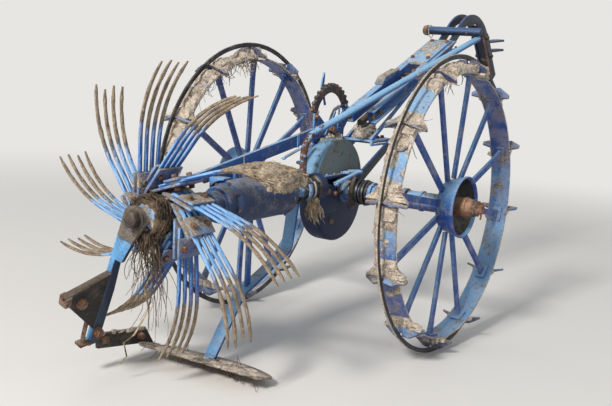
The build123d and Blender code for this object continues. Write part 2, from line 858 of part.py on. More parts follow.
# Hanger between the drum and the stay
stay_fall = (stay_heel[1] - stay_knee[1]) / (stay_heel[0] - stay_knee[0])
stay_face = stay_thick / 2 * hypot(1, stay_fall)
with BuildPart() as stay_hanger:
    with BuildSketch(side(hanger_thick / 2)):
        with BuildLine():
            Polyline(
                *[
                    (x, stay_knee[1] + (x - stay_knee[0]) * stay_fall + stay_face)
                    for x in (hanger_x - hanger_width / 2, hanger_x + hanger_width / 2)
                ],
                (hanger_x + hanger_width / 2, shaft_rise - drum_radius),
                (hanger_x - hanger_width / 2, shaft_rise - drum_radius),
                close=True,
            )
        make_face()
    extrude(amount=hanger_thick)
pieces["stay_hanger"] = stay_hanger


# Main beam, an angle bar from a saddle on the drum up to the quadrant
def beam_top(x):
    """Height of the main beam's top edge."""
    rise = (beam_front[1] - beam_rear[1]) / (beam_front[0] - beam_rear[0])
    return beam_rear[1] + (x - beam_rear[0]) * rise


with BuildPart() as main_beam:
    with BuildSketch(side(beam_y + beam_thick)):
        with BuildLine():
            Polyline(
                beam_rear,
                beam_front,
                (beam_front[0], beam_front[1] - beam_depth),
                (beam_rear[0] + beam_heel[0], beam_rear[1] - beam_heel[1]),
                close=True,
            )
        make_face()
    extrude(amount=beam_thick)
    with BuildSketch(side(beam_y + beam_shelf)):
        with BuildLine():
            Polyline(
                beam_rear,
                (shelf_front, beam_top(shelf_front)),
                (shelf_front, beam_top(shelf_front) - beam_thick),
                (beam_rear[0], beam_rear[1] - beam_thick),
                close=True,
            )
        make_face()
    extrude(amount=beam_shelf - beam_thick)
    with BuildSketch(across(saddle_x - saddle_length / 2)):
        with BuildLine():
            Polyline(
                (0, drum_radius + saddle_thick),
                (beam_y, drum_radius + saddle_thick),
                (beam_y, saddle_foot),
                (0, saddle_foot),
                close=True,
            )
        make_face()
        Circle(drum_radius, mode=Mode.SUBTRACT)
    extrude(amount=saddle_length)
pieces["main_beam"] = main_beam

# Ledge: a folded plate ahead of the gear case that carries the drawbar's rear end
with BuildPart() as drawbar_ledge:
    with BuildSketch(level(ledge_z)):
        with Locations(((ledge_rear + ledge_front) / 2, (ledge_left - ledge_right) / 2)):
            Rectangle(ledge_front - ledge_rear, ledge_left + ledge_right)
    extrude(amount=-ledge_thick)
    for left_face in (ledge_left, ledge_thick - ledge_right):
        with BuildSketch(side(left_face)):
            with Locations(((ledge_rear + ledge_front) / 2, ledge_z - ledge_drop / 2)):
                Rectangle(ledge_front - ledge_rear, ledge_drop)
                SlotOverall(ledge_slot_length, ledge_slot_width, mode=Mode.SUBTRACT)
        extrude(amount=ledge_thick)
pieces["drawbar_ledge"] = drawbar_ledge

# Struts from the axle tubes up to the ledge
for side_name, strut_y in (("right", -ledge_right), ("left", ledge_left + strut_thick)):
    with BuildPart() as strut:
        with BuildSketch(side(strut_y)):
            with BuildLine():
                Polyline(
                    (strut_foot[0], strut_low),
                    (strut_foot[1], strut_low),
                    (ledge_front, ledge_z - ledge_drop),
                    (ledge_front, ledge_z - strut_top_gap),
                    (ledge_front - strut_width, ledge_z - strut_top_gap),
                    (strut_foot[0], strut_back),
                    close=True,
                )
            make_face()
        extrude(amount=strut_thick)
        with BuildSketch(side(strut_y + 1)):
            Circle(axle_root_radius)
        extrude(amount=strut_thick + 2, mode=Mode.SUBTRACT)
    pieces[f"drawbar_strut_{side_name}"] = strut

# Drawbar: two channels side by side, bolted to a block on the ledge
draw_angle = radians(draw_slope)
draw_run = Vector(cos(draw_angle), sin(draw_angle))
draw_rise = Vector(-sin(draw_angle), cos(draw_angle))


def on_drawbar(distance, height):
    """Point of a side plane, along the drawbar's top edge and above it."""
    spot = Vector(*draw_start) + draw_run * distance + draw_rise * height
    return (spot.X, spot.Y)


for side_name, hand in (("right", -1), ("left", 1)):
    web_far = hand * (block_half + draw_web / 2) + draw_web / 2
    flange_far = hand * (block_half + draw_web + draw_flange / 2) + draw_flange / 2
    with BuildPart() as draw_beam:
        with BuildSketch(side(web_far)):
            with BuildLine():
                Polyline(
                    on_drawbar(0, 0),
                    on_drawbar(draw_length, 0),
                    on_drawbar(draw_length, -draw_depth),
                    on_drawbar(0, -draw_depth),
                    close=True,
                )
            make_face()
        extrude(amount=draw_web)
        for top in (0, -draw_depth + draw_web):
            with BuildSketch(side(flange_far)):
                with BuildLine():
                    Polyline(
                        on_drawbar(0, top),
                        on_drawbar(draw_length, top),
                        on_drawbar(draw_length, top - draw_web),
                        on_drawbar(0, top - draw_web),
                        close=True,
                    )
                make_face()
            extrude(amount=draw_flange)
    pieces[f"drawbar_beam_{side_name}"] = draw_beam

# Block between the channels
with BuildPart() as drawbar_block:
    with BuildSketch(side(block_half)):
        with BuildLine():
            Polyline(
                (block_rear, ledge_z),
                (block_front, ledge_z),
                (block_front, block_top),
                (block_rear + block_step[0], block_step[1]),
                (block_rear, block_rear_top),
                close=True,
            )
        make_face()
    extrude(amount=2 * block_half)
pieces["drawbar_block"] = drawbar_block

# Adjusting rod from the block up between the channels
with BuildPart() as drawbar_rod:
    rod_origin = at(block_front - rod_sink, 0, rod_z)
    rod_way = forward * cos(draw_angle) + upward * sin(draw_angle)
    with BuildSketch(Plane(origin=rod_origin, x_dir=left, z_dir=rod_way)):
        Circle(rod_radius)
    extrude(amount=rod_length)
    with BuildSketch(Plane(origin=rod_origin + rod_way * rod_length, x_dir=left, z_dir=rod_way)):
        Rectangle(2 * block_half, rod_head)
    extrude(amount=rod_head_thick)
    with BuildSketch(across(block_front, rod_z)):
        Rectangle(4 * rod_radius, 6 * rod_radius)
    extrude(amount=-4 * rod_radius, mode=Mode.SUBTRACT)
pieces["drawbar_rod"] = drawbar_rod

# Light bars under the channels
under_bar_rear = ledge_rear + under_bar_set_in
for side_name, hand in (("right", -1), ("left", 1)):
    under_far = hand * under_bar_y + under_bar_thick / 2
    with BuildPart() as under_bar:
        with BuildSketch(side(under_far)):
            with BuildLine():
                Polyline(
                    (under_bar_rear, ledge_z),
                    (under_bar_rear + under_bar_foot[0], ledge_z),
                    on_drawbar(under_bar_end[1], -draw_depth - under_bar_drop),
                    on_drawbar(under_bar_end[2], -draw_depth),
                    on_drawbar(under_bar_end[0], -draw_depth),
                    (under_bar_rear, ledge_z + under_bar_foot[1]),
                    close=True,
                )
            make_face()
        extrude(amount=under_bar_thick)
    pieces[f"drawbar_stay_{side_name}"] = under_bar

# Plates over the channels
plate_half = block_half + draw_web + draw_flange
plate_start = draw_length - plate_end_gap - plate_length
with BuildPart() as drawbar_plate:
    with BuildSketch(side(plate_half - plate_set_in)):
        with BuildLine():
            Polyline(
                on_drawbar(plate_start, 0),
                on_drawbar(plate_start + plate_length, 0),
                on_drawbar(plate_start + plate_length, plate_thick),
                on_drawbar(plate_start, plate_thick),
                close=True,
            )
        make_face()
    extrude(amount=2 * (plate_half - plate_set_in))
pieces["drawbar_plate"] = drawbar_plate
with BuildPart() as beam_cap:
    with BuildSketch(side(plate_half + cap_overhang)):
        with BuildLine():
            Polyline(
                on_drawbar(cap_start, 0),
                on_drawbar(cap_start + cap_length, 0),
                on_drawbar(cap_start + cap_length, cap_rise[2]),
                on_drawbar(cap_start + cap_peak, cap_rise[1]),
                on_drawbar(cap_start, cap_rise[0]),
                close=True,
            )
        make_face()
    extrude(amount=draw_flange + cap_overhang + cap_lap)
pieces["beam_cap"] = beam_cap

# Hitch bow: two flat straps on edge bent over in an arch, tied by a spacer at each end
draw_end = on_drawbar(draw_length, 0)
strap_path = [(draw_end[0] + x, draw_end[1] + z) for x, z in strap_corners]
with BuildPart() as hitch_bow:
    for hand in (-1, 1):
        with BuildLine(side(hand * strap_y)) as strap_line:
            FilletPolyline(*strap_path, radius=strap_bend)
        strap_start = Plane(origin=strap_line.line @ 0, x_dir=left, z_dir=strap_line.line % 0)
        with BuildSketch(strap_start):
            Rectangle(strap_thick, strap_depth)
        sweep(path=strap_line.line)
    limb_way = (Vector(*strap_path[2]) - Vector(*strap_path[1])).normalized()
    limb_out = Vector(-limb_way.Y, limb_way.X)
    jaw_spot = Vector(*strap_path[2]) - limb_way * jaw_up
    spacer = [
        jaw_spot + limb_way * (-pad_height / 2) - limb_out * spacer_half,
        jaw_spot + limb_way * (pad_height / 2) - limb_out * spacer_half,
        jaw_spot + limb_way * (pad_height / 2) + limb_out * spacer_half,
        jaw_spot + limb_way * (-pad_height / 2) + limb_out * spacer_half,
    ]
    with BuildSketch(side(strap_y)):
        with BuildLine():
            Polyline(*[(spot.X, spot.Y) for spot in spacer], close=True)
        make_face()
    extrude(amount=2 * strap_y)
    with BuildSketch(side(block_half)):
        with BuildLine():
            Polyline(
                on_drawbar(draw_length - draw_web - spacer_length, -draw_web),
                on_drawbar(draw_length - draw_web, -draw_web),
                on_drawbar(draw_length - draw_web, -draw_depth + draw_web),
                on_drawbar(draw_length - draw_web - spacer_length, -draw_depth + draw_web),
                close=True,
            )
        make_face()
    extrude(amount=2 * block_half)
pieces["hitch_bow"] = hitch_bow

# Hitch jaws: a pad on the straps' front edges with two bored plates
pad_near = strap_depth / 2
pad = [
    jaw_spot + limb_way * (-pad_height / 2) + limb_out * pad_near,
    jaw_spot + limb_way * (pad_height / 2) + limb_out * pad_near,
    jaw_spot + limb_way * (pad_height / 2) + limb_out * (pad_near + pad_thick),
    jaw_spot + limb_way * (-pad_height / 2) + limb_out * (pad_near + pad_thick),
]
jaw_way = radians(jaw_rise)
jaw_x_dir = forward * cos(jaw_way) + upward * sin(jaw_way)
jaw_z_dir = upward * cos(jaw_way) - forward * sin(jaw_way)
jaw_middle = Plane(origin=at(jaw_spot.X, 0, jaw_spot.Y), x_dir=jaw_x_dir, z_dir=jaw_z_dir)
jaw_tip_x = jaw_length - jaw_half
with BuildPart() as hitch_jaws:
    with BuildSketch(side(jaw_half)):
        with BuildLine():
            Polyline(*[(spot.X, spot.Y) for spot in pad], close=True)
        make_face()
    extrude(amount=2 * jaw_half)
    for bottom in (jaw_gap / 2, -jaw_gap / 2 - jaw_thick):
        with BuildSketch(jaw_middle.offset(bottom)):
            with Locations(((jaw_tip_x - jaw_root) / 2, 0)):
                Rectangle(jaw_tip_x + jaw_root, 2 * jaw_half)
            with Locations((jaw_tip_x, 0)):
                Circle(jaw_half)
                Circle(jaw_bore, mode=Mode.SUBTRACT)
        extrude(amount=jaw_thick)
    with BuildSketch(side(jaw_half + 1)):
        with BuildLine():
            Polyline(
                *[
                    (spot.X, spot.Y)
                    for spot in (
                        jaw_spot - limb_way * pad_height + limb_out * pad_near,
                        jaw_spot + limb_way * pad_height + limb_out * pad_near,
                        jaw_spot + limb_way * pad_height - limb_out * 2 * strap_depth,
                        jaw_spot - limb_way * pad_height - limb_out * 2 * strap_depth,
                    )
                ],
                close=True,
            )
        make_face()
    extrude(amount=2 * jaw_half + 2, mode=Mode.SUBTRACT)
pieces["hitch_jaws"] = hitch_jaws

# Cross pin on the rear edges of the straps
limb_rear = Vector(*strap_path[0])
rear_way = (Vector(*strap_path[1]) - limb_rear).normalized()
rear_out = Vector(-rear_way.Y, rear_way.X)
cross_spot = limb_rear + rear_way * cross_place + rear_out * (strap_depth / 2 + cross_radius)
with BuildPart() as cross_pin:
    with BuildSketch(side(cross_left)):
        with Locations((cross_spot.X, cross_spot.Y)):
            Circle(cross_radius)
    extrude(amount=cross_left - cross_right)
    with BuildSketch(side(cross_left + cross_head_length)):
        with Locations((cross_spot.X, cross_spot.Y)):
            Circle(cross_head_radius)
    extrude(amount=cross_head_length)
pieces["cross_pin"] = cross_pin

# Lever, a bent pipe from a boss on the neck to under the cross pin
neck_top = shaft_rise + neck_radius
boss_top = neck_top + boss_height
pin_run = hypot(cross_spot.X - lever_foot[0], cross_spot.Y - lever_bend)
pin_turn = atan2(cross_spot.Y - lever_bend, cross_spot.X - lever_foot[0])
lever_angle = pin_turn - asin((cross_radius + lever_radius + touch_gap) / pin_run)
lever_tip_x = cross_spot.X + lever_past
lever_tip_z = lever_bend + (lever_tip_x - lever_foot[0]) * tan(lever_angle)
with BuildPart() as lever:
    with BuildLine() as lever_path:
        FilletPolyline(
            at(lever_foot[0], lever_foot[1], boss_top),
            at(lever_foot[0], lever_foot[1], lever_bend),
            at(lever_tip_x, lever_tip_y, lever_tip_z),
            radius=lever_fillet,
        )
    with BuildSketch(Plane(origin=lever_path.line @ 0, z_dir=lever_path.line % 0)):
        Circle(lever_radius)
    sweep(path=lever_path.line)
pieces["lever"] = lever

# Boss on the neck that the lever stands in
with BuildPart() as lever_boss:
    with BuildSketch(level(shaft_rise)):
        with Locations((lever_foot[0], lever_foot[1])):
            Rectangle(*boss_plan)
    extrude(amount=boss_top - shaft_rise)
    with BuildSketch(across(lever_foot[0] - boss_plan[0])):
        Circle(neck_radius)
    extrude(amount=2 * boss_plan[0], mode=Mode.SUBTRACT)
pieces["lever_boss"] = lever_boss

# Bracket plates from the gear cover up to the quadrant and the drawbar
with BuildPart() as pivot_bracket:
    with BuildSketch(side(bracket_y + bracket_thick)):
        with BuildLine():
            Polyline(
                (bracket_foot[0], case_split + lip_thick),
                (bracket_ear[0], bracket_shoulder),
                (bracket_ear[0], bracket_ear[2]),
                (bracket_ear[1], bracket_ear[2]),
                (bracket_saddle[0], bracket_saddle[2]),
                (bracket_saddle[1], bracket_saddle[2]),
                *bracket_arm,
                (bracket_foot[1], case_split + lip_thick),
                close=True,
            )
        make_face()
    extrude(amount=bracket_thick)
pieces["pivot_bracket"] = pivot_bracket

# Toothed quadrant, a half ring with teeth on its outside
quadrant_plane = side(bracket_y + bracket_thick + quadrant_thick)
tooth_pitch = 180 / tooth_count
tooth_radius = quadrant_radius + (tooth_height - tooth_sink) / 2
with BuildPart() as quadrant:
    with BuildSketch(quadrant_plane):
        with Locations((quadrant_x, quadrant_z)):
            Circle(quadrant_radius)
            with PolarLocations(tooth_radius, tooth_count, tooth_pitch / 2, 180 - tooth_pitch):
                Rectangle(tooth_height + tooth_sink, tooth_width)
            Circle(quadrant_radius - quadrant_band, mode=Mode.SUBTRACT)
        with Locations((quadrant_x, quadrant_z - quadrant_radius)):
            Rectangle(4 * quadrant_radius, 2 * quadrant_radius, mode=Mode.SUBTRACT)
    extrude(amount=quadrant_thick)
pieces["quadrant"] = quadrant

# Latch bar over the quadrant
with BuildPart() as latch:
    latch_turn = radians(latch_lean)
    latch_way = forward * cos(latch_turn) + upward * sin(latch_turn)
    latch_origin = at(quadrant_x, bracket_y + bracket_thick + quadrant_thick, quadrant_z)
    with BuildSketch(Plane(origin=latch_origin, x_dir=latch_way, z_dir=left)):
        with Locations((latch_start + latch_length / 2, 0)):
            Rectangle(latch_length, latch_width)
    extrude(amount=latch_thick)
pieces["latch"] = latch

# Everything is moved so that the origin lies under the middle of the whole machine
whole = Compound(children=[piece.part.moved(Location()) for piece in pieces.values()])
box = whole.bounding_box()
centre = Location((-(box.min.X + box.max.X) / 2, -(box.min.Y + box.max.Y) / 2, -box.min.Z))

os.makedirs("parts", exist_ok=True)
for piece_name, piece in pieces.items():
    placed = piece.part.moved(centre)
    placed.label = piece_name
    export_step(placed, f"parts/{piece_name}.step")
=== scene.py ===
"""Towed spinner potato digger: its pieces, finishes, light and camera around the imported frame."""

import json
import logging
import math
import random
from dataclasses import dataclass, field
from enum import Enum
from typing import Sequence

import bmesh
import bpy
from mathutils import Matrix, Vector, noise


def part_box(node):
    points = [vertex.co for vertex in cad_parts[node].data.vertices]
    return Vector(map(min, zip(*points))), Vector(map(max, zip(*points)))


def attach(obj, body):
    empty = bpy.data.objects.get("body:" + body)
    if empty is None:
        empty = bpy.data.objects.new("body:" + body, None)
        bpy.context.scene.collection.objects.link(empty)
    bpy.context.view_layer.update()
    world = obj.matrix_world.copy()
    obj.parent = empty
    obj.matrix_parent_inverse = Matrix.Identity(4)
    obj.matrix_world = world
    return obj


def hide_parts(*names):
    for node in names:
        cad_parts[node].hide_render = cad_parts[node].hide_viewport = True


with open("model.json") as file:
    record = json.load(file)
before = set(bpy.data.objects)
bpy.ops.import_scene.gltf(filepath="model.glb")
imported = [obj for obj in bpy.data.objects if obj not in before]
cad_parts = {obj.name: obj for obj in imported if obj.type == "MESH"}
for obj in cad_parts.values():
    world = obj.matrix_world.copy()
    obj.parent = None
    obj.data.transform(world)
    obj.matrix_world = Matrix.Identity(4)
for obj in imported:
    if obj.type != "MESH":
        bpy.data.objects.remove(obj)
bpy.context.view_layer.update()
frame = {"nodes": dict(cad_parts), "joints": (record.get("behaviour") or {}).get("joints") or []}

Colour = tuple[float, float, float]
Spot = tuple[float, float]
Point = Vector | tuple[float, float, float]

logging.basicConfig(level=logging.INFO, format="%(message)s")
log = logging.getLogger("digger")

MILLIMETRE = 0.001
FULL_TURN = 2 * math.pi
HANDS = RIGHT_HAND, LEFT_HAND = -1, 1
AXIS_X, AXIS_Y, AXIS_Z = (1, 0, 0), (0, 1, 0), (0, 0, 1)
TO_RIGHT = (0, -1, 0)


def tint(red: int, green: int, blue: int) -> Colour:
    """Turns a screen colour into the linear colour that shaders take.

    Args:
        red: Red, 0 to 255.
        green: Green, 0 to 255.
        blue: Blue, 0 to 255.

    Returns:
        The three linear parts.
    """
    knee = 0.04045
    parts = []
    for part in (red, green, blue):
        share = part / 255
        parts.append(share / 12.92 if share <= knee else ((share + 0.055) / 1.055) ** 2.4)
    return (parts[0], parts[1], parts[2])


# Shader values


class Wire:
    """One output socket of a graph's nodes, with arithmetic."""

    def __init__(self, graph: "Graph", socket: bpy.types.NodeSocket | None) -> None:
        """Wraps an output socket of a graph, or none for the node that ends it."""
        self.graph = graph
        self.socket = socket

    def math(self, operation: str, *others: "Wire | float") -> "Wire":
        """Adds a Math node whose first value is this one."""
        return self.graph.node("ShaderNodeMath", {"operation": operation}, dict(enumerate((self, *others))))

    def __add__(self, other: "Wire | float") -> "Wire":
        """Sum."""
        return self.math("ADD", other)

    __radd__ = __add__

    def __sub__(self, other: "Wire | float") -> "Wire":
        """Difference."""
        return self.math("SUBTRACT", other)

    def __rsub__(self, other: float) -> "Wire":
        """Difference from a number."""
        return self.graph.node("ShaderNodeMath", {"operation": "SUBTRACT"}, {0: other, 1: self})

    def __mul__(self, other: "Wire | float") -> "Wire":
        """Product."""
        return self.math("MULTIPLY", other)

    __rmul__ = __mul__

    def larger(self, other: "Wire | float") -> "Wire":
        """The larger of two values."""
        return self.math("MAXIMUM", other)

    def smaller(self, other: "Wire | float") -> "Wire":
        """The smaller of two values."""
        return self.math("MINIMUM", other)

    def rise(self, low: float, high: float) -> "Wire":
        """Goes smoothly from 0 at the low value to 1 at the high one."""
        settings = {"interpolation_type": "SMOOTHSTEP"}
        return self.graph.node("ShaderNodeMapRange", settings, {"Value": self, "From Min": low, "From Max": high})


class Graph:
    """The nodes of a material or of the sky."""

    def __init__(self, owner: bpy.types.Material | bpy.types.World) -> None:
        """Empties the nodes of a new material or world.

        Args:
            owner: The material or world.
        """
        owner.use_nodes = True
        self.owner = owner
        self.tree = owner.node_tree
        self.tree.nodes.clear()

    def node(
        self, kind: str, settings: dict[str, object], inputs: dict[int | str, object], output: int | str = 0
    ) -> Wire:
        """Adds one node.

        Args:
            kind: The node's type.
            settings: Its settings, set before its sockets.
            inputs: The value or wire of each named or numbered socket.
            output: The socket to hand back.

        Returns:
            The wire of that output.
        """
        made = self.tree.nodes.new(kind)
        for key, setting in settings.items():
            setattr(made, key, setting)
        for key, value in inputs.items():
            if isinstance(value, Wire):
                self.tree.links.new(value.socket, made.inputs[key])
            elif isinstance(value, tuple) and made.inputs[key].type == "RGBA":
                made.inputs[key].default_value = (*value, 1.0)
            else:
                made.inputs[key].default_value = value
        return Wire(self, made.outputs[output] if made.outputs else None)

    def place(self) -> Wire:
        """Object coordinates, in metres."""
        return self.node("ShaderNodeTexCoord", {}, {}, "Object")

    def facing(self) -> Wire:
        """The surface's direction in the object's own axes."""
        return self.node("ShaderNodeTexCoord", {}, {}, "Normal")

    def part(self, vector: Wire, direction: Point) -> Wire:
        """How far a vector reaches along a direction of length 1."""
        return self.node("ShaderNodeVectorMath", {"operation": "DOT_PRODUCT"}, {0: vector, 1: direction}, "Value")

    def distance(self, vector: Wire, origin: Point, axis: Point) -> Wire:
        """Distance of a point from a straight line.

        Args:
            vector: The point.
            origin: A point of the line.
            axis: The line's direction, of length 1.

        Returns:
            The distance in metres.
        """
        away = self.node("ShaderNodeVectorMath", {"operation": "SUBTRACT"}, {0: vector, 1: origin})
        cross = self.node("ShaderNodeVectorMath", {"operation": "CROSS_PRODUCT"}, {0: away, 1: axis})
        return self.node("ShaderNodeVectorMath", {"operation": "LENGTH"}, {0: cross}, "Value")

    def cloud(self, vector: Wire, scale: float, detail: float = 4, roughness: float = 0.6, bend: float = 0) -> Wire:
        """Fractal noise, about 0.5 in the middle, with so many cells to the metre."""
        inputs = {"Vector": vector, "Scale": scale, "Detail": detail, "Roughness": roughness, "Distortion": bend}
        return self.node("ShaderNodeTexNoise", {}, inputs)

    def cracks(self, vector: Wire, scale: float) -> Wire:
        """Distance from the borders of random cells, of which scale go to the metre."""
        settings = {"feature": "DISTANCE_TO_EDGE"}
        return self.node("ShaderNodeTexVoronoi", settings, {"Vector": vector, "Scale": scale}, "Distance")

    def mix(self, share: Wire, first: Wire | Colour, second: Wire | Colour) -> Wire:
        """Mixes two colours, by the share of the second."""
        settings = {"data_type": "RGBA", "clamp_factor": True}
        return self.node("ShaderNodeMix", settings, {0: share, 6: first, 7: second}, 2)

    def shade(self, colour: Wire, strength: Wire) -> Wire:
        """Darkens or lightens a colour by what it is multiplied by."""
        return self.node("ShaderNodeVectorMath", {"operation": "SCALE"}, {0: colour, "Scale": strength})

    def surface(self, colour: Wire, roughness: Wire | float, height: Wire, depth: float, metal: Wire | float) -> None:
        """Ends the graph in a shader with a bump.

        Args:
            colour: Base colour.
            roughness: Roughness.
            height: The bump's height.
            depth: Metres that a height of 1 stands for.
            metal: How metallic the surface is.
        """
        bump = self.node("ShaderNodeBump", {}, {"Height": height, "Distance": depth, "Strength": 1.0})
        inputs = {"Base Color": colour, "Roughness": roughness, "Metallic": metal, "Normal": bump}
        self.close(self.node("ShaderNodeBsdfPrincipled", {}, inputs))

    def close(self, shader: Wire, kind: str = "ShaderNodeOutputMaterial") -> None:
        """Joins a shader to the output node, of the kind that a material or the sky has."""
        self.node(kind, {}, {"Surface": shader})


# Places


@dataclass(frozen=True)
class Machine:
    """The machine's axes in the frame: the axle, and the chassis tipped up to its parked slope."""

    axle: Vector
    forward: Vector
    upward: Vector
    shaft_rise: float = 28
    track: float = 952

    @classmethod
    def read(cls) -> "Machine":
        """Reads the axle's place and the rotor shaft's direction from the frame's joints."""
        joints = {joint["name"]: joint for joint in frame["joints"]}
        wheel = Vector(joints["wheel_right_spin"]["pos_m"])
        forward = Vector(joints["rotor_spin"]["axis"]).normalized()
        return cls(Vector((wheel.x, 0, wheel.z)), forward, forward.cross(Vector(AXIS_Y)))

    def chassis(self) -> Matrix:
        """The chassis axes: x forward, y to the left, z up, in millimetres from the axle's middle."""
        turn = Matrix((self.forward, AXIS_Y, self.upward)).transposed().to_4x4()
        return Matrix.Translation(self.axle) @ turn @ Matrix.Scale(MILLIMETRE, 4)

    def shaft(self) -> Matrix:
        """The rotor shaft's axes: x to the left, y up, z forward along it."""
        turn = Matrix((AXIS_Z, AXIS_X, AXIS_Y)).to_4x4()
        return self.chassis() @ Matrix.Translation((0, 0, self.shaft_rise)) @ turn

    def wheel(self, hand: int) -> Matrix:
        """A land wheel's axes: x up, z outboard along the axle, from the rim's middle.

        Args:
            hand: RIGHT_HAND or LEFT_HAND.

        Returns:
            The matrix, from millimetres.
        """
        turn = Matrix(((0, hand, 0), (0, 0, hand), AXIS_X)).to_4x4()
        middle = self.axle + Vector((0, hand * self.track / 2 * MILLIMETRE, 0))
        return Matrix.Translation(middle) @ turn @ Matrix.Scale(MILLIMETRE, 4)


machine = Machine.read()


# Finishes

# The way towards the side that the light comes from: faces turned to it take the paint's lighter tone, painted sunlight
# on top of the real bleaching
SUNLIT_SIDE = (-0.62, -0.1, 0.78)


class Gather(Enum):
    """Where dry soil gathers on a piece."""

    PATCHES = "anywhere, in patches"
    ABOVE = "on faces that look up"
    WHEEL = "towards the wheel's rim"
    TINES = "towards the tines' tips"
    HEAD = "round the shaft"
    # Real soil on the ring's outer edge, drawn pale to paint the light there too
    EDGE = "on the outer ring's edge"


@dataclass(frozen=True)
class Weathered:
    """Painted or bare steel that has stood outdoors, with rust, dust and dried soil."""

    name: str
    paint: Colour
    # The paint's lighter tone, for real fading and for painted sunlight
    faded_and_sunlit: Colour
    rust: float
    soil: float
    gather: Gather = Gather.PATCHES
    # How much of the surface takes the lighter tone, in fading patches and as painted sunlight
    fade_and_sunlight: float = 0.5
    metal: float = 0.0
    gloss: float = 0.45
    rust_dark: Colour = tint(50, 37, 32)
    rust_bright: Colour = tint(134, 86, 60)
    soil_dark: Colour = tint(100, 88, 78)
    soil_light: Colour = tint(206, 192, 176)
    rust_spot: tuple[float, float, float] | None = None
    rust_reach: float = 0.0
    bump_depth: float = 0.0026

    def gathered(self, graph: Graph, place: Wire) -> Wire:
        """How much more soil there is than in the patches.

        Args:
            graph: The material's graph.
            place: Object coordinates.

        Returns:
            A value to add to the patches' noise.
        """
        above = graph.part(graph.facing(), AXIS_Z)
        if self.gather is Gather.ABOVE:
            return above.rise(0.2, 0.95) * 0.14
        if self.gather in (Gather.WHEEL, Gather.EDGE):
            reach = graph.distance(place, machine.axle, AXIS_Y)
            wheel = self.gather is Gather.WHEEL
            # On the ring, soil only on the outermost edge and less elsewhere: the sides keep their dark painted shade
            # and the edge is pale as painted light
            return reach.rise(0.40, 0.50) * 0.07 if wheel else reach.rise(0.5565, 0.5585) * 0.5 - 0.12
        reach = graph.distance(place, machine.shaft().translation, machine.forward)
        if self.gather is Gather.TINES:
            return reach.rise(0.21, 0.36) * 0.4 - 0.1
        if self.gather is Gather.HEAD:
            return reach.rise(0.06, 0.165) * -0.5 + 0.34
        return above.rise(0.0, 1.0) * 0.05

    def rusted(self, graph: Graph, place: Wire, patch: Wire, fine: Wire) -> Wire:
        """Where the rust is.

        Args:
            graph: The material's graph.
            place: Object coordinates.
            patch: Noise of a few centimetres.
            fine: Noise of a few millimetres.

        Returns:
            Its share, 0 to 1.
        """
        level = 0.74 - 0.42 * self.rust
        spread = patch * 0.62 + fine * 0.38
        if self.rust_spot:
            away = graph.distance(place, machine.chassis() @ Vector(self.rust_spot), AXIS_Y)
            spread = spread + away.rise(0.35 * self.rust_reach, self.rust_reach) * -0.2 + 0.2
        specks = graph.cloud(place, 260).rise(0.66, 0.7) * (0.5 + self.rust)
        return spread.rise(level - 0.025, level + 0.025).larger(specks.smaller(1.0))

    def material(self) -> bpy.types.Material:
        """Builds the material from its paint outwards: fading and painted sunlight, rust, dust and soil."""
        graph = Graph(bpy.data.materials.new(self.name))
        place = graph.place()
        broad = graph.cloud(place, 7, 3, 0.55)
        patch = graph.cloud(place, 32, 6, 0.68, 0.25)
        fine = graph.cloud(place, 120, 5, 0.7)
        grit = graph.cloud(place, 620, 3)
        painted_sunlight = graph.part(graph.facing(), SUNLIT_SIDE)

        low = 0.70 - 0.5 * self.fade_and_sunlight
        # Lighter tone in broad patches of real fading and, as painted sunlight, on faces towards the light
        faded_and_sunlit = (broad * 0.45 + fine * 0.25 + painted_sunlight * 0.45).rise(low, low + 0.34)
        colour = graph.mix(faded_and_sunlit, self.paint, self.faded_and_sunlit)
        colour = graph.shade(colour, fine * 0.6 + 0.7)

        rusty = self.rusted(graph, place, patch, fine)
        rust_colour = graph.mix((fine * 0.5 + broad * 0.5).rise(0.38, 0.62), self.rust_dark, self.rust_bright)
        colour = graph.mix(rusty, colour, rust_colour)

        level = 0.74 - 0.46 * self.soil
        soiled = graph.cloud(place, 19, 6, 0.64, 0.4) * 0.66 + fine * 0.34 + self.gathered(graph, place)
        soil = soiled.rise(level - 0.03, level + 0.05)
        dust = soiled.rise(level - 0.2, level + 0.05) * 0.35
        # The soil is drawn darker along its cracks, painted shade in them
        crack = graph.cracks(place, 64).rise(0.0, 0.06)
        soil_tone = (patch * 0.4 + fine * 0.3 + grit * 0.3).rise(0.36, 0.62) * (crack * 0.4 + 0.6)
        soil_colour = graph.mix(soil_tone, self.soil_dark, self.soil_light)
        colour = graph.mix(dust, colour, self.soil_light)
        colour = graph.mix(soil, colour, soil_colour)

        height = fine * 0.1 + grit * 0.04 + rusty * (fine * 0.35 + 0.12)
        height = height + soil * (patch * 1.0 + fine * 0.7 + grit * 0.3 + crack * 0.18)
        roughness = (rusty * 0.35 + fine * 0.2 + self.gloss).larger(soil * 0.95).smaller(0.97)
        metal = (1 - rusty) * (1 - soil) * self.metal
        graph.surface(colour, roughness, height, self.bump_depth, metal)
        return graph.owner


@dataclass(frozen=True)
class Fibre:
    """Dry straw, stalks and roots."""

    name: str
    dark: Colour
    light: Colour
    bump_depth: float = 0.0006

    def material(self) -> bpy.types.Material:
        """Builds the material."""
        graph = Graph(bpy.data.materials.new(self.name))
        place = graph.place()
        tone = graph.cloud(place, 38)
        fine = graph.cloud(place, 420, 3)
        colour = graph.mix((tone * 0.6 + fine * 0.4).rise(0.36, 0.62), self.dark, self.light)
        graph.surface(graph.shade(colour, fine * 0.5 + 0.75), 0.9, fine, self.bump_depth, 0.0)
        return graph.owner


DEEP_BLUE, PALE_BLUE = tint(22, 74, 142), tint(116, 168, 214)


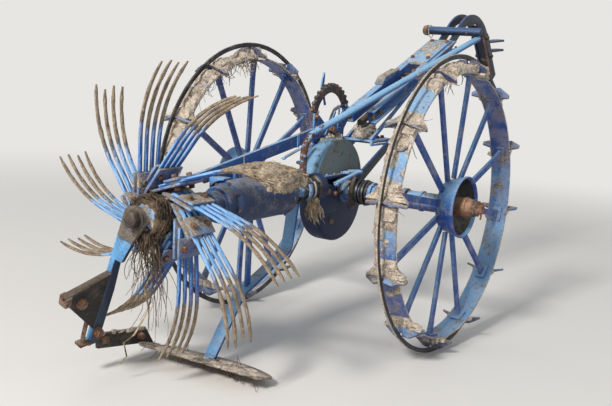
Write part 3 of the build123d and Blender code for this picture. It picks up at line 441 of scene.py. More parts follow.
class Finish(Enum):
    """The finishes of the machine, each with the record's slot that it belongs to."""

    BLUE = ("blue_paint", Weathered("old_blue_paint", DEEP_BLUE, PALE_BLUE, 0.26, 0.12, Gather.ABOVE))
    BLUE_MUDDY = ("blue_paint", Weathered("soiled_blue_paint", DEEP_BLUE, PALE_BLUE, 0.34, 0.42, Gather.ABOVE))
    BLUE_RUSTY = ("blue_paint", Weathered("rusted_blue_paint", DEEP_BLUE, PALE_BLUE, 0.44, 0.2, Gather.ABOVE))
    WHEEL = ("blue_paint", Weathered("wheel_paint", tint(22, 68, 142), PALE_BLUE, 0.16, 0.22, Gather.WHEEL))
    COVER = ("blue_paint", Weathered(
        "dirty_cover_paint", tint(96, 114, 122), tint(118, 172, 214), 0.3, 0.36,
        soil_dark=tint(84, 82, 62), soil_light=tint(140, 134, 108)))
    # Deep blue paint made darker still, painted shade under the cover's lip
    CASE = ("blue_paint", Weathered(
        "oily_and_shaded_case_paint", tint(6, 26, 62), tint(22, 66, 128), 0.1, -0.6, fade_and_sunlight=0.3, gloss=0.5))
    DRUM = ("blue_paint", Weathered(
        "drum_paint", tint(16, 42, 80), tint(70, 110, 154), 0.34, 0.1, Gather.ABOVE, 0.34, gloss=0.4))
    LEVER = ("blue_paint", Weathered(
        "bleached_lever_paint", tint(52, 108, 172), tint(140, 188, 226), 0.24, 0.0, fade_and_sunlight=0.85,
        rust_spot=(-290, 0, 150), rust_reach=0.2))
    ARM = ("blue_paint", Weathered(
        "arm_paint", tint(22, 44, 72), tint(104, 170, 226), 0.3, 0.0, Gather.HEAD, 0.86,
        soil_dark=tint(66, 56, 50), soil_light=tint(132, 122, 112)))
    PLATE = ("blue_paint", Weathered("plate_paint", tint(52, 106, 170), tint(126, 178, 222), 0.3, 0.3, fade_and_sunlight=0.7))
    DARK = ("dark_steel", Weathered(
        "weathered_dark_steel", tint(20, 32, 54), tint(54, 86, 130), 0.26, -0.1, gloss=0.42))
    # Near-black greasy steel, which also paints the shade inside the bells and on the far outer ring's sides
    GREASE_AND_SHADE = ("dark_steel", Weathered("greasy_steel_and_painted_shade", tint(18, 18, 22), tint(46, 46, 52), 0.2, 0.12, gloss=0.3))
    TEETH = ("dark_steel", Weathered("toothed_iron", tint(34, 34, 42), tint(74, 70, 72), 0.5, 0.06, gloss=0.5))
    RUSTY = ("rusty_steel", Weathered("rusted_steel", tint(56, 42, 36), tint(104, 80, 66), 0.6, 0.24, gloss=0.7))
    BRIGHT_RUST = ("rusty_steel", Weathered(
        "bright_rust", tint(98, 66, 50), tint(166, 124, 94), 0.42, 0.18, gloss=0.7, rust_bright=tint(152, 94, 58)))
    BROWN = ("rusty_steel", Weathered(
        "brown_iron", tint(26, 24, 24), tint(84, 72, 62), 0.3, 0.16, gloss=0.6,
        rust_bright=tint(96, 66, 50), soil_light=tint(150, 134, 118)))
    # Dark iron that paints the shade on the ring's sides, with pale soil on its outer edge, partly real soil and partly
    # painted light
    RING = ("muddy_steel", Weathered(
        "ring_iron_with_painted_shade", tint(30, 32, 40), tint(74, 74, 78), 0.3, 0.3, Gather.EDGE, 0.3, soil_light=tint(214, 200, 184)))
    MUDDY = ("muddy_steel", Weathered("caked_steel", tint(60, 62, 70), tint(104, 96, 90), 0.5, 0.7, gloss=0.7))
    # Blue darker than the wheel's own, painted shade on the lugs, under real soil
    LUG = ("muddy_steel", Weathered(
        "soiled_and_shaded_lug_paint", tint(18, 50, 100), tint(84, 128, 178), 0.3, 0.34, Gather.ABOVE, 0.36))
    TINE = ("muddy_steel", Weathered(
        "tine_paint", tint(30, 86, 164), tint(126, 176, 224), 0.3, 0.3, Gather.TINES, 0.62,
        soil_dark=tint(82, 70, 60), soil_light=tint(178, 160, 138)))
    SOIL = ("muddy_steel", Weathered(
        "dry_soil", tint(128, 110, 94), tint(200, 184, 164), 0.0, 1.5, gloss=0.9,
        soil_dark=tint(112, 98, 87), soil_light=tint(230, 217, 201)))
    CLOD = ("muddy_steel", Weathered(
        "strawy_soil", tint(120, 108, 96), tint(184, 170, 154), 0.0, 1.5, gloss=0.9,
        soil_dark=tint(74, 64, 56), soil_light=tint(188, 174, 156)))
    WORN = ("worn_steel", Weathered("soil_worn_steel", tint(92, 84, 78), tint(150, 140, 130), 0.4, 0.5, metal=0.5))
    STRAW = ("muddy_steel", Fibre("dry_straw", tint(102, 86, 68), tint(200, 182, 152)))
    VINE = ("muddy_steel", Fibre("dead_vines", tint(30, 24, 21), tint(112, 94, 76)))
    WIRE = ("worn_steel", Fibre("pale_wire", tint(150, 146, 140), tint(214, 210, 204)))

    @property
    def slot(self) -> str:
        """The record's slot."""
        return self.value[0]

    @property
    def look(self) -> Weathered | Fibre:
        """How it looks."""
        return self.value[1]


class Paints:
    """The finishes' materials, each made once."""

    made: dict[Finish, bpy.types.Material] = {}

    @classmethod
    def get(cls, finish: Finish) -> bpy.types.Material:
        """Hands back a finish's material."""
        if finish not in cls.made:
            cls.made[finish] = finish.look.material()
        return cls.made[finish]


# Mesh tools


class Shape:
    """A mesh in the making, in the millimetres of its own axes."""

    def __init__(self, place: Matrix, seed: int = 1) -> None:
        """Starts an empty mesh.

        Args:
            place: From its own axes to the frame.
            seed: Seed of its irregularities.
        """
        self.bm = bmesh.new()
        self.place = place
        self.draw = random.Random(seed)

    @classmethod
    def chassis(cls, seed: int = 1) -> "Shape":
        """An empty mesh in the chassis axes."""
        return cls(machine.chassis(), seed)

    @classmethod
    def shaft(cls, seed: int) -> "Shape":
        """An empty mesh in the rotor shaft's axes."""
        return cls(machine.shaft(), seed)

    def random_size(self, low: float, high: float) -> Vector:
        """Three random half sizes."""
        return Vector([self.draw.uniform(low, high) for _ in range(3)])

    def pushed(self, faces: Sequence[bmesh.types.BMFace], way: Matrix) -> list[bmesh.types.BMFace]:
        """Extrudes faces and moves what was extruded.

        Args:
            faces: The faces.
            way: How their new corners move.

        Returns:
            The new end faces.
        """
        made = bmesh.ops.extrude_face_region(self.bm, geom=list(faces))["geom"]
        corners = [part for part in made if isinstance(part, bmesh.types.BMVert)]
        bmesh.ops.transform(self.bm, matrix=way, verts=corners)
        return [part for part in made if isinstance(part, bmesh.types.BMFace)]

    def prism(self, corners: Sequence[Point], shift: Point) -> None:
        """Adds a solid of one outline, with a shift from it to the one on the far side."""
        face = self.bm.faces.new([self.bm.verts.new(corner) for corner in corners])
        self.pushed([face], Matrix.Translation(shift))

    def plate(self, outline: Sequence[Spot], near: float, far: float) -> None:
        """Adds a solid between two distances to the left, whose outline goes forward and up."""
        self.prism([(x, near, z) for x, z in outline], (0, far - near, 0))

    def slab(self, outline: Sequence[Spot], low: float, high: float) -> None:
        """Adds a solid between two heights, whose outline goes forward and to the left."""
        self.prism([(x, y, low) for x, y in outline], (0, 0, high - low))

    def turned(self, profile: Sequence[Spot], steps: int, at: Matrix = Matrix.Identity(4)) -> None:
        """Adds a solid of revolution about its own z axis.

        Args:
            profile: Points along the axis and away from it, a closed line unless it ends on the axis.
            steps: Steps round the axis.
            at: The place of the solid's axes.
        """
        corners = [self.bm.verts.new(at @ Vector((radius, 0, along))) for along, radius in profile]
        edges = [self.bm.edges.new(pair) for pair in zip(corners, corners[1:])]
        if profile[0][1] > 0 or profile[-1][1] > 0:
            edges.append(self.bm.edges.new((corners[-1], corners[0])))
        bmesh.ops.spin(
            self.bm,
            geom=corners + edges,
            cent=at.translation,
            axis=at.to_3x3() @ Vector(AXIS_Z),
            angle=FULL_TURN,
            steps=steps,
            use_merge=True,
        )

    def stations(self, path: Sequence[Vector], across: Point | None) -> list[Matrix]:
        """Axes at each point of a path, z along it.

        Args:
            path: The points.
            across: The direction that x keeps to, or none for a round bar.

        Returns:
            A matrix for each point.
        """
        axes = []
        kept = Vector(across) if across else None
        side = kept or (path[1] - path[0]).orthogonal()
        for k, spot in enumerate(path):
            way = (path[min(k + 1, len(path) - 1)] - path[max(k - 1, 0)]).normalized()
            up = way.cross(kept or side).normalized()
            side = up.cross(way).normalized()
            axes.append(Matrix.Translation(spot) @ Matrix((side, up, way)).transposed().to_4x4())
        return axes

    def bar(
        self,
        path: Sequence[Point],
        sizes: Sequence[Spot],
        sides: int = 12,
        across: Point | None = None,
        corner: float | None = None,
    ) -> None:
        """Adds a bar along a path, lofted by extruding its end face.

        Args:
            path: The points of its middle.
            sizes: Half its width and half its thickness at each point, or at every point if only one is given.
            sides: Corners of a round section.
            across: The direction of the width, or none for a round bar.
            corner: How far the corners of a flat section are cut, or none for a round one.
        """
        axes = self.stations([Vector(spot) for spot in path], across)
        if corner is None:
            turns = [FULL_TURN * k / sides for k in range(sides)]
            ring = [(math.cos(turn), math.sin(turn), 0) for turn in turns]
        else:
            x, y = 1 - corner / sizes[0][0], 1 - corner / sizes[0][1]
            ring = [(1, y, 0), (x, 1, 0), (-x, 1, 0), (-1, y, 0), (-1, -y, 0), (-x, -1, 0), (x, -1, 0), (1, -y, 0)]
        if len(sizes) == 1:
            sizes = list(sizes) * len(axes)
        scales = [Matrix.Diagonal((wide, thick, (wide + thick) / 2, 1)) for wide, thick in sizes]
        last = axes[0] @ scales[0]
        face = self.bm.faces.new([self.bm.verts.new(last @ Vector(spot)) for spot in ring])
        for station, scale in zip(axes[1:], scales[1:]):
            here = station @ scale
            face = self.pushed([face], here @ last.inverted())[0]
            last = here

    def bolt(self, spot: Point, way: Point, across: float, height: float, washer: float = 0) -> None:
        """Adds a hexagon head, with a washer under it.

        Args:
            spot: Where it stands.
            way: The way that it points.
            across: Across its flats.
            height: Height of the head.
            washer: Radius of the washer, or 0 for none.
        """
        base = Matrix.Translation(spot) @ Vector(way).to_track_quat("Z", "Y").to_matrix().to_4x4()
        low = 0.0
        if washer:
            low = 0.22 * height
            self.turned([(-1, 0), (-1, washer), (low, washer), (low, 0)], 20, base)
        seat = base @ Matrix.Rotation(self.draw.uniform(0, FULL_TURN / 6), 4, "Z") @ Matrix.Translation((0, 0, low - 1))
        head = bmesh.ops.create_circle(self.bm, cap_ends=True, segments=6, radius=across / math.sqrt(3), matrix=seat)
        face = head["verts"][0].link_faces[0]
        lift = base.to_3x3() @ Vector((0, 0, 0.8 * height + 1))
        face = self.pushed([face], Matrix.Translation(lift))[0]
        middle = face.calc_center_median()
        shrink = Matrix.Translation(middle + (base.to_3x3() @ Vector((0, 0, 0.2 * height)))) @ Matrix.Scale(0.86, 4)
        self.pushed([face], shrink @ Matrix.Translation(-middle))

    def clod(
        self, spot: Point, size: Point, lumps: float = 0.4, level: int = 2, turn: float = 0
    ) -> list[bmesh.types.BMVert]:
        """Adds a lump of dried soil.

        Args:
            spot: Its middle.
            size: Its half sizes along the three axes.
            lumps: Depth of its lumps, as a share of its size.
            level: Subdivisions of the ball that it starts from.
            turn: Its turn about the y axis.

        Returns:
            Its points.
        """
        ball = bmesh.ops.create_icosphere(self.bm, subdivisions=level, radius=1)["verts"]
        off = self.random_size(-50, 50)
        for vert in ball:
            bump = noise.fractal(vert.co * 1.3 + off, 1.0, 2.0, 4)
            facet = noise.cell(vert.co * 2.2 + off) * 0.25
            vert.co *= 1 + lumps * (bump + facet)
        place = Matrix.Translation(spot) @ Matrix.Rotation(turn, 4, "Y") @ Matrix.Diagonal((*size, 1))
        bmesh.ops.transform(self.bm, matrix=place, verts=ball)
        return ball

    def block(self, spot: Point, size: Point, lumps: float = 0.3, level: int = 4) -> list[bmesh.types.BMVert]:
        """Adds an angular block of dried soil.

        Args:
            spot: Its middle.
            size: Its half sizes along the three axes.
            lumps: Depth of its lumps, as a share of its size.
            level: Subdivisions of the ball that it starts from.

        Returns:
            Its points.
        """
        ball = bmesh.ops.create_icosphere(self.bm, subdivisions=level, radius=1)["verts"]
        off = self.random_size(-50, 50)
        for vert in ball:
            boxy = Vector([math.copysign(abs(part) ** 0.5, part) for part in vert.co])
            vert.co = boxy * (1 + lumps * noise.fractal(vert.co * 1.1 + off, 0.9, 2.1, 5))
        place = Matrix.Translation(spot)
        for axis in "ZX":
            place = place @ Matrix.Rotation(self.draw.uniform(-0.3, 0.3), 4, axis)
        bmesh.ops.transform(self.bm, matrix=place @ Matrix.Diagonal((*size, 1)), verts=ball)
        return ball

    def joined(self, other: "Shape") -> None:
        """Takes in another mesh that has the same axes, and frees it.

        Args:
            other: The other mesh.
        """
        mesh = bpy.data.meshes.new("joined")
        other.bm.to_mesh(mesh)
        other.bm.free()
        self.bm.from_mesh(mesh)
        bpy.data.meshes.remove(mesh)

    def copied(self, node: str) -> None:
        """Adds a copy of a CAD node, merged and with its flat faces whole.

        Args:
            node: The node's name.
        """
        self.bm.from_mesh(frame["nodes"][node].data)
        bmesh.ops.transform(self.bm, matrix=self.place.inverted(), verts=self.bm.verts[:])
        bmesh.ops.remove_doubles(self.bm, verts=self.bm.verts[:], dist=0.01)
        flat = math.radians(0.6)
        bmesh.ops.dissolve_limit(self.bm, angle_limit=flat, verts=self.bm.verts[:], edges=self.bm.edges[:])

    def eased(self, width: float, limit: float = 38, segments: int = 2) -> None:
        """Rounds the sharp edges.

        Args:
            width: Width of the rounding.
            limit: Least angle of a sharp edge, in degrees.
            segments: Faces across the rounding.
        """
        least = math.radians(limit)
        bmesh.ops.bevel(
            self.bm,
            geom=[edge for edge in self.bm.edges if edge.is_manifold and edge.calc_face_angle(0) > least],
            offset=width,
            segments=segments,
            profile=0.5,
            affect="EDGES",
            clamp_overlap=True,
            material=-1,
        )

    def divided(self, cuts: int) -> None:
        """Cuts every edge into shorter ones."""
        bmesh.ops.subdivide_edges(self.bm, edges=self.bm.edges[:], cuts=cuts, use_grid_fill=True)

    def roughened(self, depth: float, size: float) -> None:
        """Moves the points in and out, by at most the depth, in bumps of the size."""
        self.bm.normal_update()
        for vert in self.bm.verts:
            vert.co += vert.normal * depth * noise.fractal(vert.co / size, 1.0, 2.0, 3)

    def made(self, name: str, finish: Finish, *replaced: str, body: str = "frame", sharp: float = 34) -> None:
        """Ends the mesh as a piece of the machine.

        Args:
            name: The piece's name.
            finish: Its finish.
            replaced: The CAD nodes that it stands for.
            body: The body that it rides on.
            sharp: Angle past which an edge is drawn sharp, in degrees.
        """
        bmesh.ops.remove_doubles(self.bm, verts=self.bm.verts[:], dist=0.002)
        bmesh.ops.recalc_face_normals(self.bm, faces=self.bm.faces[:])
        for face in self.bm.faces:
            face.smooth = True
        for edge in self.bm.edges:
            edge.smooth = edge.calc_face_angle(0) < math.radians(sharp)
        bmesh.ops.transform(self.bm, matrix=self.place, verts=self.bm.verts[:])
        if self.place.to_3x3().determinant() < 0:
            bmesh.ops.reverse_faces(self.bm, faces=self.bm.faces[:])
        mesh = bpy.data.meshes.new(name)
        self.bm.to_mesh(mesh)
        self.bm.free()
        mesh.materials.append(Paints.get(finish))
        piece = bpy.data.objects.new(name, mesh)
        bpy.context.scene.collection.objects.link(piece)
        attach(piece, body)
        if replaced:
            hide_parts(*replaced)
        log.info("%s: %d faces on %s", name, len(mesh.polygons), body)


def shifted(start: float, *spots: Spot) -> list[Spot]:
    """Profile points whose first numbers count from a start."""
    return [(start + along, reach) for along, reach in spots]


def arc_points(centre: Spot, radius: float, start: float, end: float, steps: int) -> list[Spot]:
    """Points along an arc between two angles in degrees, one more than its steps."""
    turns = [math.radians(start + (end - start) * k / steps) for k in range(steps + 1)]
    return [(centre[0] + radius * math.cos(turn), centre[1] + radius * math.sin(turn)) for turn in turns]


def rounded_path(corners: Sequence[Point], radius: float, steps: int) -> list[Vector]:
    """A line whose corners are rounded.

    Args:
        corners: The line's corners.
        radius: Radius at the inner corners.
        steps: Parts of each rounding.

    Returns:
        The points.
    """
    corners = [Vector(corner) for corner in corners]
    points = [corners[0]]
    for before, here, after in zip(corners, corners[1:], corners[2:]):
        back, ahead = (before - here).normalized(), (after - here).normalized()
        half = back.angle(ahead) / 2
        reach = radius / math.tan(half)
        centre = here + (back + ahead).normalized() * (radius / math.sin(half))
        start, end = here + back * reach, here + ahead * reach
        points += [centre + (start - centre).slerp(end - centre, k / steps) for k in range(steps + 1)]
    return [*points, corners[-1]]


def smooth_step(value: float, low: float, high: float) -> float:
    """Goes smoothly from 0 at the low value to 1 at the high one."""
    share = min(max((value - low) / (high - low), 0), 1)
    return share * share * (3 - 2 * share)


def copy_dressed(node: str, finish: Finish, body: str = "frame", ease: float = 1.6, rough: float = 0.0) -> None:
    """Dresses a piece whose CAD shape is right: the same shape with eased edges.

    Args:
        node: The CAD node.
        finish: Its finish.
        body: The body that it rides on.
        ease: Width of the rounding.
        rough: How far its faces are out of true.
    """
    shape = Shape.chassis()
    shape.copied(node)
    shape.eased(ease)
    if rough:
        shape.roughened(rough, 40)
    shape.made(f"{node}_dressed", finish, node, body=body)


# Sub-assemblies


@dataclass
class Strands:
    """Dry stalks and roots caught on a piece."""

    name: str
    place: Matrix
    body: str
    seed: int
    paths: list[list[Vector]] = field(default_factory=list)
    thick: Spot = (1.2, 2.6)
    finish: Finish = Finish.STRAW
    bundle: int = 12

    def wander(self, start: Point, way: Point, length: float, stray: float, fall: float = 0, steps: int = 7) -> None:
        """Adds one stalk that wanders as it goes.

        Args:
            start: Where it starts.
            way: The way that it sets out.
            length: Its length.
            stray: How far it strays at each step, as a share of the step.
            fall: How much it sinks at each step, as a share of the step.
            steps: Its parts.
        """
        draw = random.Random(self.seed * 1009 + len(self.paths))
        points = [Vector(start)]
        heading = Vector(way).normalized()
        for _ in range(steps):
            stray_by = Vector([draw.uniform(-stray, stray) for _ in range(3)])
            heading = (heading + stray_by + Vector((0, 0, -fall))).normalized()
            points.append(points[-1] + heading * (length / steps))
        self.paths.append(points)

    def build(self) -> None:
        """Builds the stalks as one piece, a bundle at a time."""
        whole = Shape(self.place, self.seed)
        for first in range(0, len(self.paths), self.bundle):
            part = Shape(self.place)
            for path in self.paths[first : first + self.bundle]:
                width = whole.draw.uniform(*self.thick)
                last = len(path)
                sizes = [(width * (1 - 0.5 * k / last), width * (0.8 - 0.4 * k / last)) for k in range(last)]
                part.bar(path, sizes, sides=5)
            whole.joined(part)
        whole.made(self.name, self.finish, body=self.body, sharp=60)


@dataclass
class LandWheel:
    """One land wheel: band, outer ring, lugs, spokes, hub and its dried soil."""

    side: str
    hand: int
    phase: float
    heavy: tuple[tuple[float, float, float], ...]
    blocks: tuple[tuple[float, ...], ...]
    loads: tuple[float, ...]
    strawy: tuple[tuple[float, float, int], ...]
    ring_shade_finish: Finish
    rim_radius: float = 500
    rim_thick: float = 8
    rim_half: float = 40
    edge: float = 1.6
    ring_radius: float = 560
    ring_depth: float = 19
    ring_half: float = 4.5
    lug_count: int = 12
    shell_back: float = -16
    shell_mouth: float = 64
    back_radius: float = 95
    mouth_radius: float = 116
    wall: float = 7
    shade_sheet_skin: float = 0.7
    bell_bolt_count: int = 4
    bell_bolt_radius: float = 62
    boss_radius: float = 37
    boss_end: float = 96
    sleeve_radius: float = 35
    sleeve_end: float = -170
    bore: float = 19.05
    crust_bare: float = -3.8
    crust_most: float = 24
    crust_steps: int = 620
    crust_columns: int = 22

    @property
    def body(self) -> str:
        """The body that the wheel turns as."""
        return f"wheel_{self.side}"

    def spot(self, turn: float, radius: float, out: float) -> Vector:
        """A place by degrees from the top towards the front, radius, and distance outboard of the band's middle."""
        angle = math.radians(turn) * self.hand
        return Vector((radius * math.cos(angle), radius * math.sin(angle), out))

    def shape(self, seed: int) -> Shape:
        """An empty mesh in the wheel's axes."""
        return Shape(machine.wheel(self.hand), seed)

    def done(self, shape: Shape, name: str, finish: Finish, *nodes: str, sharp: float = 34) -> None:
        """Ends a mesh as a piece, with the wheel's name before its own and before the nodes that it stands for."""
        replaced = [f"{self.body}_{node}" for node in nodes]
        shape.made(f"{self.body}_{name}", finish, *replaced, body=self.body, sharp=sharp)

    def band(self) -> None:
        """Builds the band and the outer ring, a little out of true."""
        edge, half = self.edge, self.rim_half
        inner, outer = self.rim_radius - self.rim_thick, self.rim_radius
        rim = self.shape(3)
        inside = (-half, inner + edge), (-half + edge, inner), (0, inner), (half - edge, inner), (half, inner + edge)
        outside = (half, outer - edge), (half - edge, outer), (0, outer), (-half + edge, outer), (-half, outer - edge)
        rim.turned([*inside, *outside], 180)
        rim.roughened(0.9, 70)
        self.done(rim, "band", Finish.WHEEL, "rim")
        ring = self.shape(4)
        low, high, half = self.ring_radius - self.ring_depth, self.ring_radius, self.ring_half
        profile = [(-half, low + edge), (-half + edge, low), (half - edge, low), (half, low + edge), (half, high - 3)]
        profile += [(half - edge, high - 1), (0, high - 0.4), (-half + edge, high - 1), (-half, high - 3)]
        ring.turned(profile, 180)
        ring.roughened(0.7, 45)
        self.done(ring, "outer_ring", self.ring_shade_finish, "ring")

    def crust_depth(self, turn: float, out: float, seed: float) -> float:
        """Thickness of the soil on the band.

        Args:
            turn: Degrees from the top towards the front.
            out: Distance outboard of the band's middle.
            seed: Shifts the lumps.

        Returns:
            The thickness, below 0 where the band is bare.
        """
        spot = self.spot(turn, self.rim_radius, out)
        shift = Vector((seed, 0, 0))
        lumps = noise.fractal(spot / 42 + shift, 0.8, 2.1, 6)
        crumbs = noise.fractal(spot / 12 + shift, 1.0, 2.2, 4)
        depth = self.crust_bare + 4.0 * lumps + 1.4 * crumbs
        for middle, width, thick in self.heavy:
            gap = (turn - middle + 180) % 360 - 180
            share = smooth_step(width - abs(gap) + 10 * lumps, -3, 4)
            depth += thick * share * (1 + 0.8 * lumps + 0.35 * crumbs)
        thinned = 1 - 0.55 * (abs(out) / (self.rim_half + 3)) ** 6
        return min(max(depth, self.crust_bare), self.crust_most) * thinned

    def crust(self) -> None:
        """Builds the dried crust on the band."""
        soil = self.shape(11 + self.hand)
        base = self.rim_radius - 1.5
        reach = self.rim_half + 1.2
        columns = [-reach + 2 * reach * k / self.crust_columns for k in range(self.crust_columns + 1)]
        profile = [(-reach, base - 5), *((column, base + 1) for column in columns), (reach, base - 5)]
        soil.turned(profile, self.crust_steps)
        for vert in soil.bm.verts:
            if math.hypot(vert.co.x, vert.co.y) < base:
                continue
            turn = math.degrees(math.atan2(vert.co.y, vert.co.x)) * self.hand
            vert.co = self.spot(turn, base + self.crust_depth(turn, vert.co.z, 7.0 * self.hand), vert.co.z)
        self.done(soil, "dried_crust", Finish.SOIL, sharp=50)

    def flare(self, soil: Shape, turn: float, load: float) -> None:
        """Adds the wedge of soil that is dammed up against one lug, and the crumbs round it.

        Args:
            soil: The mesh that it is added to.
            turn: Where the lug is, in degrees from the top towards the front.
            load: How much soil there is, 0 to 1.
        """
        count = 9
        path, sizes = [], []
        for k in range(count):
            share = k / (count - 1)
            wide = self.rim_half + (2 + 34 * load) * (1 - smooth_step(share, 0.0, 0.62))
            tall = 1.0 + (3 + 11 * load) * (1 - share) ** 1.25
            along = (-2 + (26 + 30 * load) * share) * self.hand
            path.append((self.rim_radius - 2 + 0.45 * tall, along, 0))
            sizes.append((wide, tall))
        before = set(soil.bm.verts)
        soil.bar(path, sizes, across=AXIS_Z, corner=1.0)
        added = [vert for vert in soil.bm.verts if vert not in before]
        for vert in added:
            vert.co.y -= self.hand * 22 * abs(vert.co.z) / 78
        self.moved_round(soil, added, turn)
        for _ in range(round(1 + 5 * load)):
            size = soil.random_size(6, 15)
            spot = (self.rim_radius + 6, soil.draw.uniform(2, 24) * self.hand, soil.draw.uniform(-52, 52))
            self.moved_round(soil, soil.clod(spot, size), turn)

    def soil(self) -> None:
        """Builds the soil at the lugs and the blocks of it on the band."""
        soil = self.shape(13 + self.hand)
        for k, load in enumerate(self.loads):
            self.flare(soil, self.phase + 360 / self.lug_count * k, load)
        soil.divided(2)
        soil.roughened(2.6, 17)
        for turn, radius, out, length, height, wide in self.blocks:
            self.moved_round(soil, soil.block((radius, 0, out), (height, length, wide)), turn)
        soil.roughened(0.9, 5)
        self.done(soil, "lug_soil", Finish.SOIL, sharp=46)

    def moved_round(self, shape: Shape, verts: Sequence[bmesh.types.BMVert], turn: float) -> None:
        """Turns a mesh's points by degrees from the top towards the front."""
        spin = Matrix.Rotation(math.radians(turn) * self.hand, 3, "Z")
        bmesh.ops.rotate(shape.bm, cent=(0, 0, 0), matrix=spin, verts=list(verts))

    def straw(self) -> None:
        """Hangs straw from the crust where the wheel has wound it up."""
        caught = Strands(f"{self.body}_straw", machine.wheel(self.hand), self.body, 15 + self.hand)
        draw = random.Random(16 + self.hand)
        for middle, width, count in self.strawy:
            for _ in range(count):
                turn = middle + draw.uniform(-width, width)
                start = self.spot(turn, self.rim_radius - draw.uniform(6, 12), draw.uniform(-36, 36))
                way = self.spot(turn + draw.uniform(-70, 70), -1, draw.uniform(-0.5, 0.5))
                caught.wander(start, way, draw.uniform(20, 95), 0.5)
        caught.build()

    def spider(self) -> None:
        """Dresses the lugs and the spokes."""
        rows = (5, "lugs", 1.2, "lug_plates", Finish.LUG), (6, "spokes", 1.6, "spoke_bars", Finish.WHEEL)
        for seed, node, ease, name, finish in rows:
            shape = self.shape(seed)
            shape.copied(f"{self.body}_{node}")
            shape.eased(ease)
            self.done(shape, name, finish, node)

    def bell(self) -> None:
        """Builds the bell, a dark sheet of painted shade over its inside, and its bolts."""
        shell = self.shape(7)
        wall, boss = self.wall, self.boss_radius
        back, mouth, narrow, wide = self.shell_back, self.shell_mouth, self.back_radius, self.mouth_radius
        outer = shifted(back, (0, boss), (0, narrow - 8), (2.5, narrow - 2.5), (8, narrow + 1))
        outer += shifted(mouth, (-16, wide - 4.5), (-10, wide - 1), (-2, wide), (0, wide - 2), (0, wide - wall + 1))
        inner = shifted(mouth, (-3, wide - wall - 1), (-12, wide - wall - 3))
        inner += shifted(back, (wall + 8, narrow - wall), (wall, narrow - wall - 8), (wall, boss))
        shell.turned(outer + inner, 96)
        self.done(shell, "bell", Finish.WHEEL, "hub_shell")
        # A thin dark sheet just inside the bell paints the shade in it
        shade_sheet = self.shape(17)
        skin = self.shade_sheet_skin
        dark = [(along - skin if along > mouth - 13 else along + skin, radius - skin) for along, radius in inner[1:-1]]
        dark += shifted(back + wall, (skin, boss + 1), (-1, boss + 1), (-1, narrow - wall - 8), (6, narrow - wall + 1))
        shade_sheet.turned([*dark, (mouth - 13, wide - wall - 2)], 96)
        self.done(shade_sheet, "bell_inside_painted_shade", Finish.GREASE_AND_SHADE)
        bolts = self.shape(8)
        for k in range(self.bell_bolt_count):
            turn = -84 + 360 // self.bell_bolt_count * k
            bolts.bolt(self.spot(turn, self.bell_bolt_radius, back + wall), AXIS_Z, 24, 15, 16)
        self.done(bolts, "bell_bolts", Finish.RUSTY)

    def hub(self) -> None:
        """Builds the sleeve behind the bell and the boss that comes out of its mouth."""
        sleeve = self.shape(9)
        back, bore, end, radius = self.shell_back, self.bore, self.sleeve_end, self.sleeve_radius
        profile = shifted(end, (0, bore), (0, radius - 2), (2, radius))
        profile += shifted(end, (52, radius), (53, radius + 4), (63, radius + 4), (64, radius))
        profile += shifted(back, (-14, radius), (-12, radius + 9), (0, radius + 11), (1, radius), (2, bore))
        sleeve.turned(profile, 64)
        self.done(sleeve, "sleeve", Finish.BLUE_RUSTY, "hub_boss")
        boss = self.shape(10)
        radius = self.boss_radius
        profile = [(back, bore), (back, radius)]
        profile += shifted(self.boss_end, (-30, radius), (-29, radius + 3), (-22, radius + 3), (-21, radius - 1))
        profile += shifted(self.boss_end, (-9, radius - 2), (-3, radius - 5), (0, radius - 9), (0, bore))
        boss.turned(profile, 64)
        boss.roughened(0.8, 14)
        self.done(boss, "boss", Finish.BRIGHT_RUST)

    def build(self) -> None:
        """Builds the wheel."""
        self.band()
        self.spider()
        self.bell()
        self.hub()
        self.crust()
        self.soil()
        self.straw()


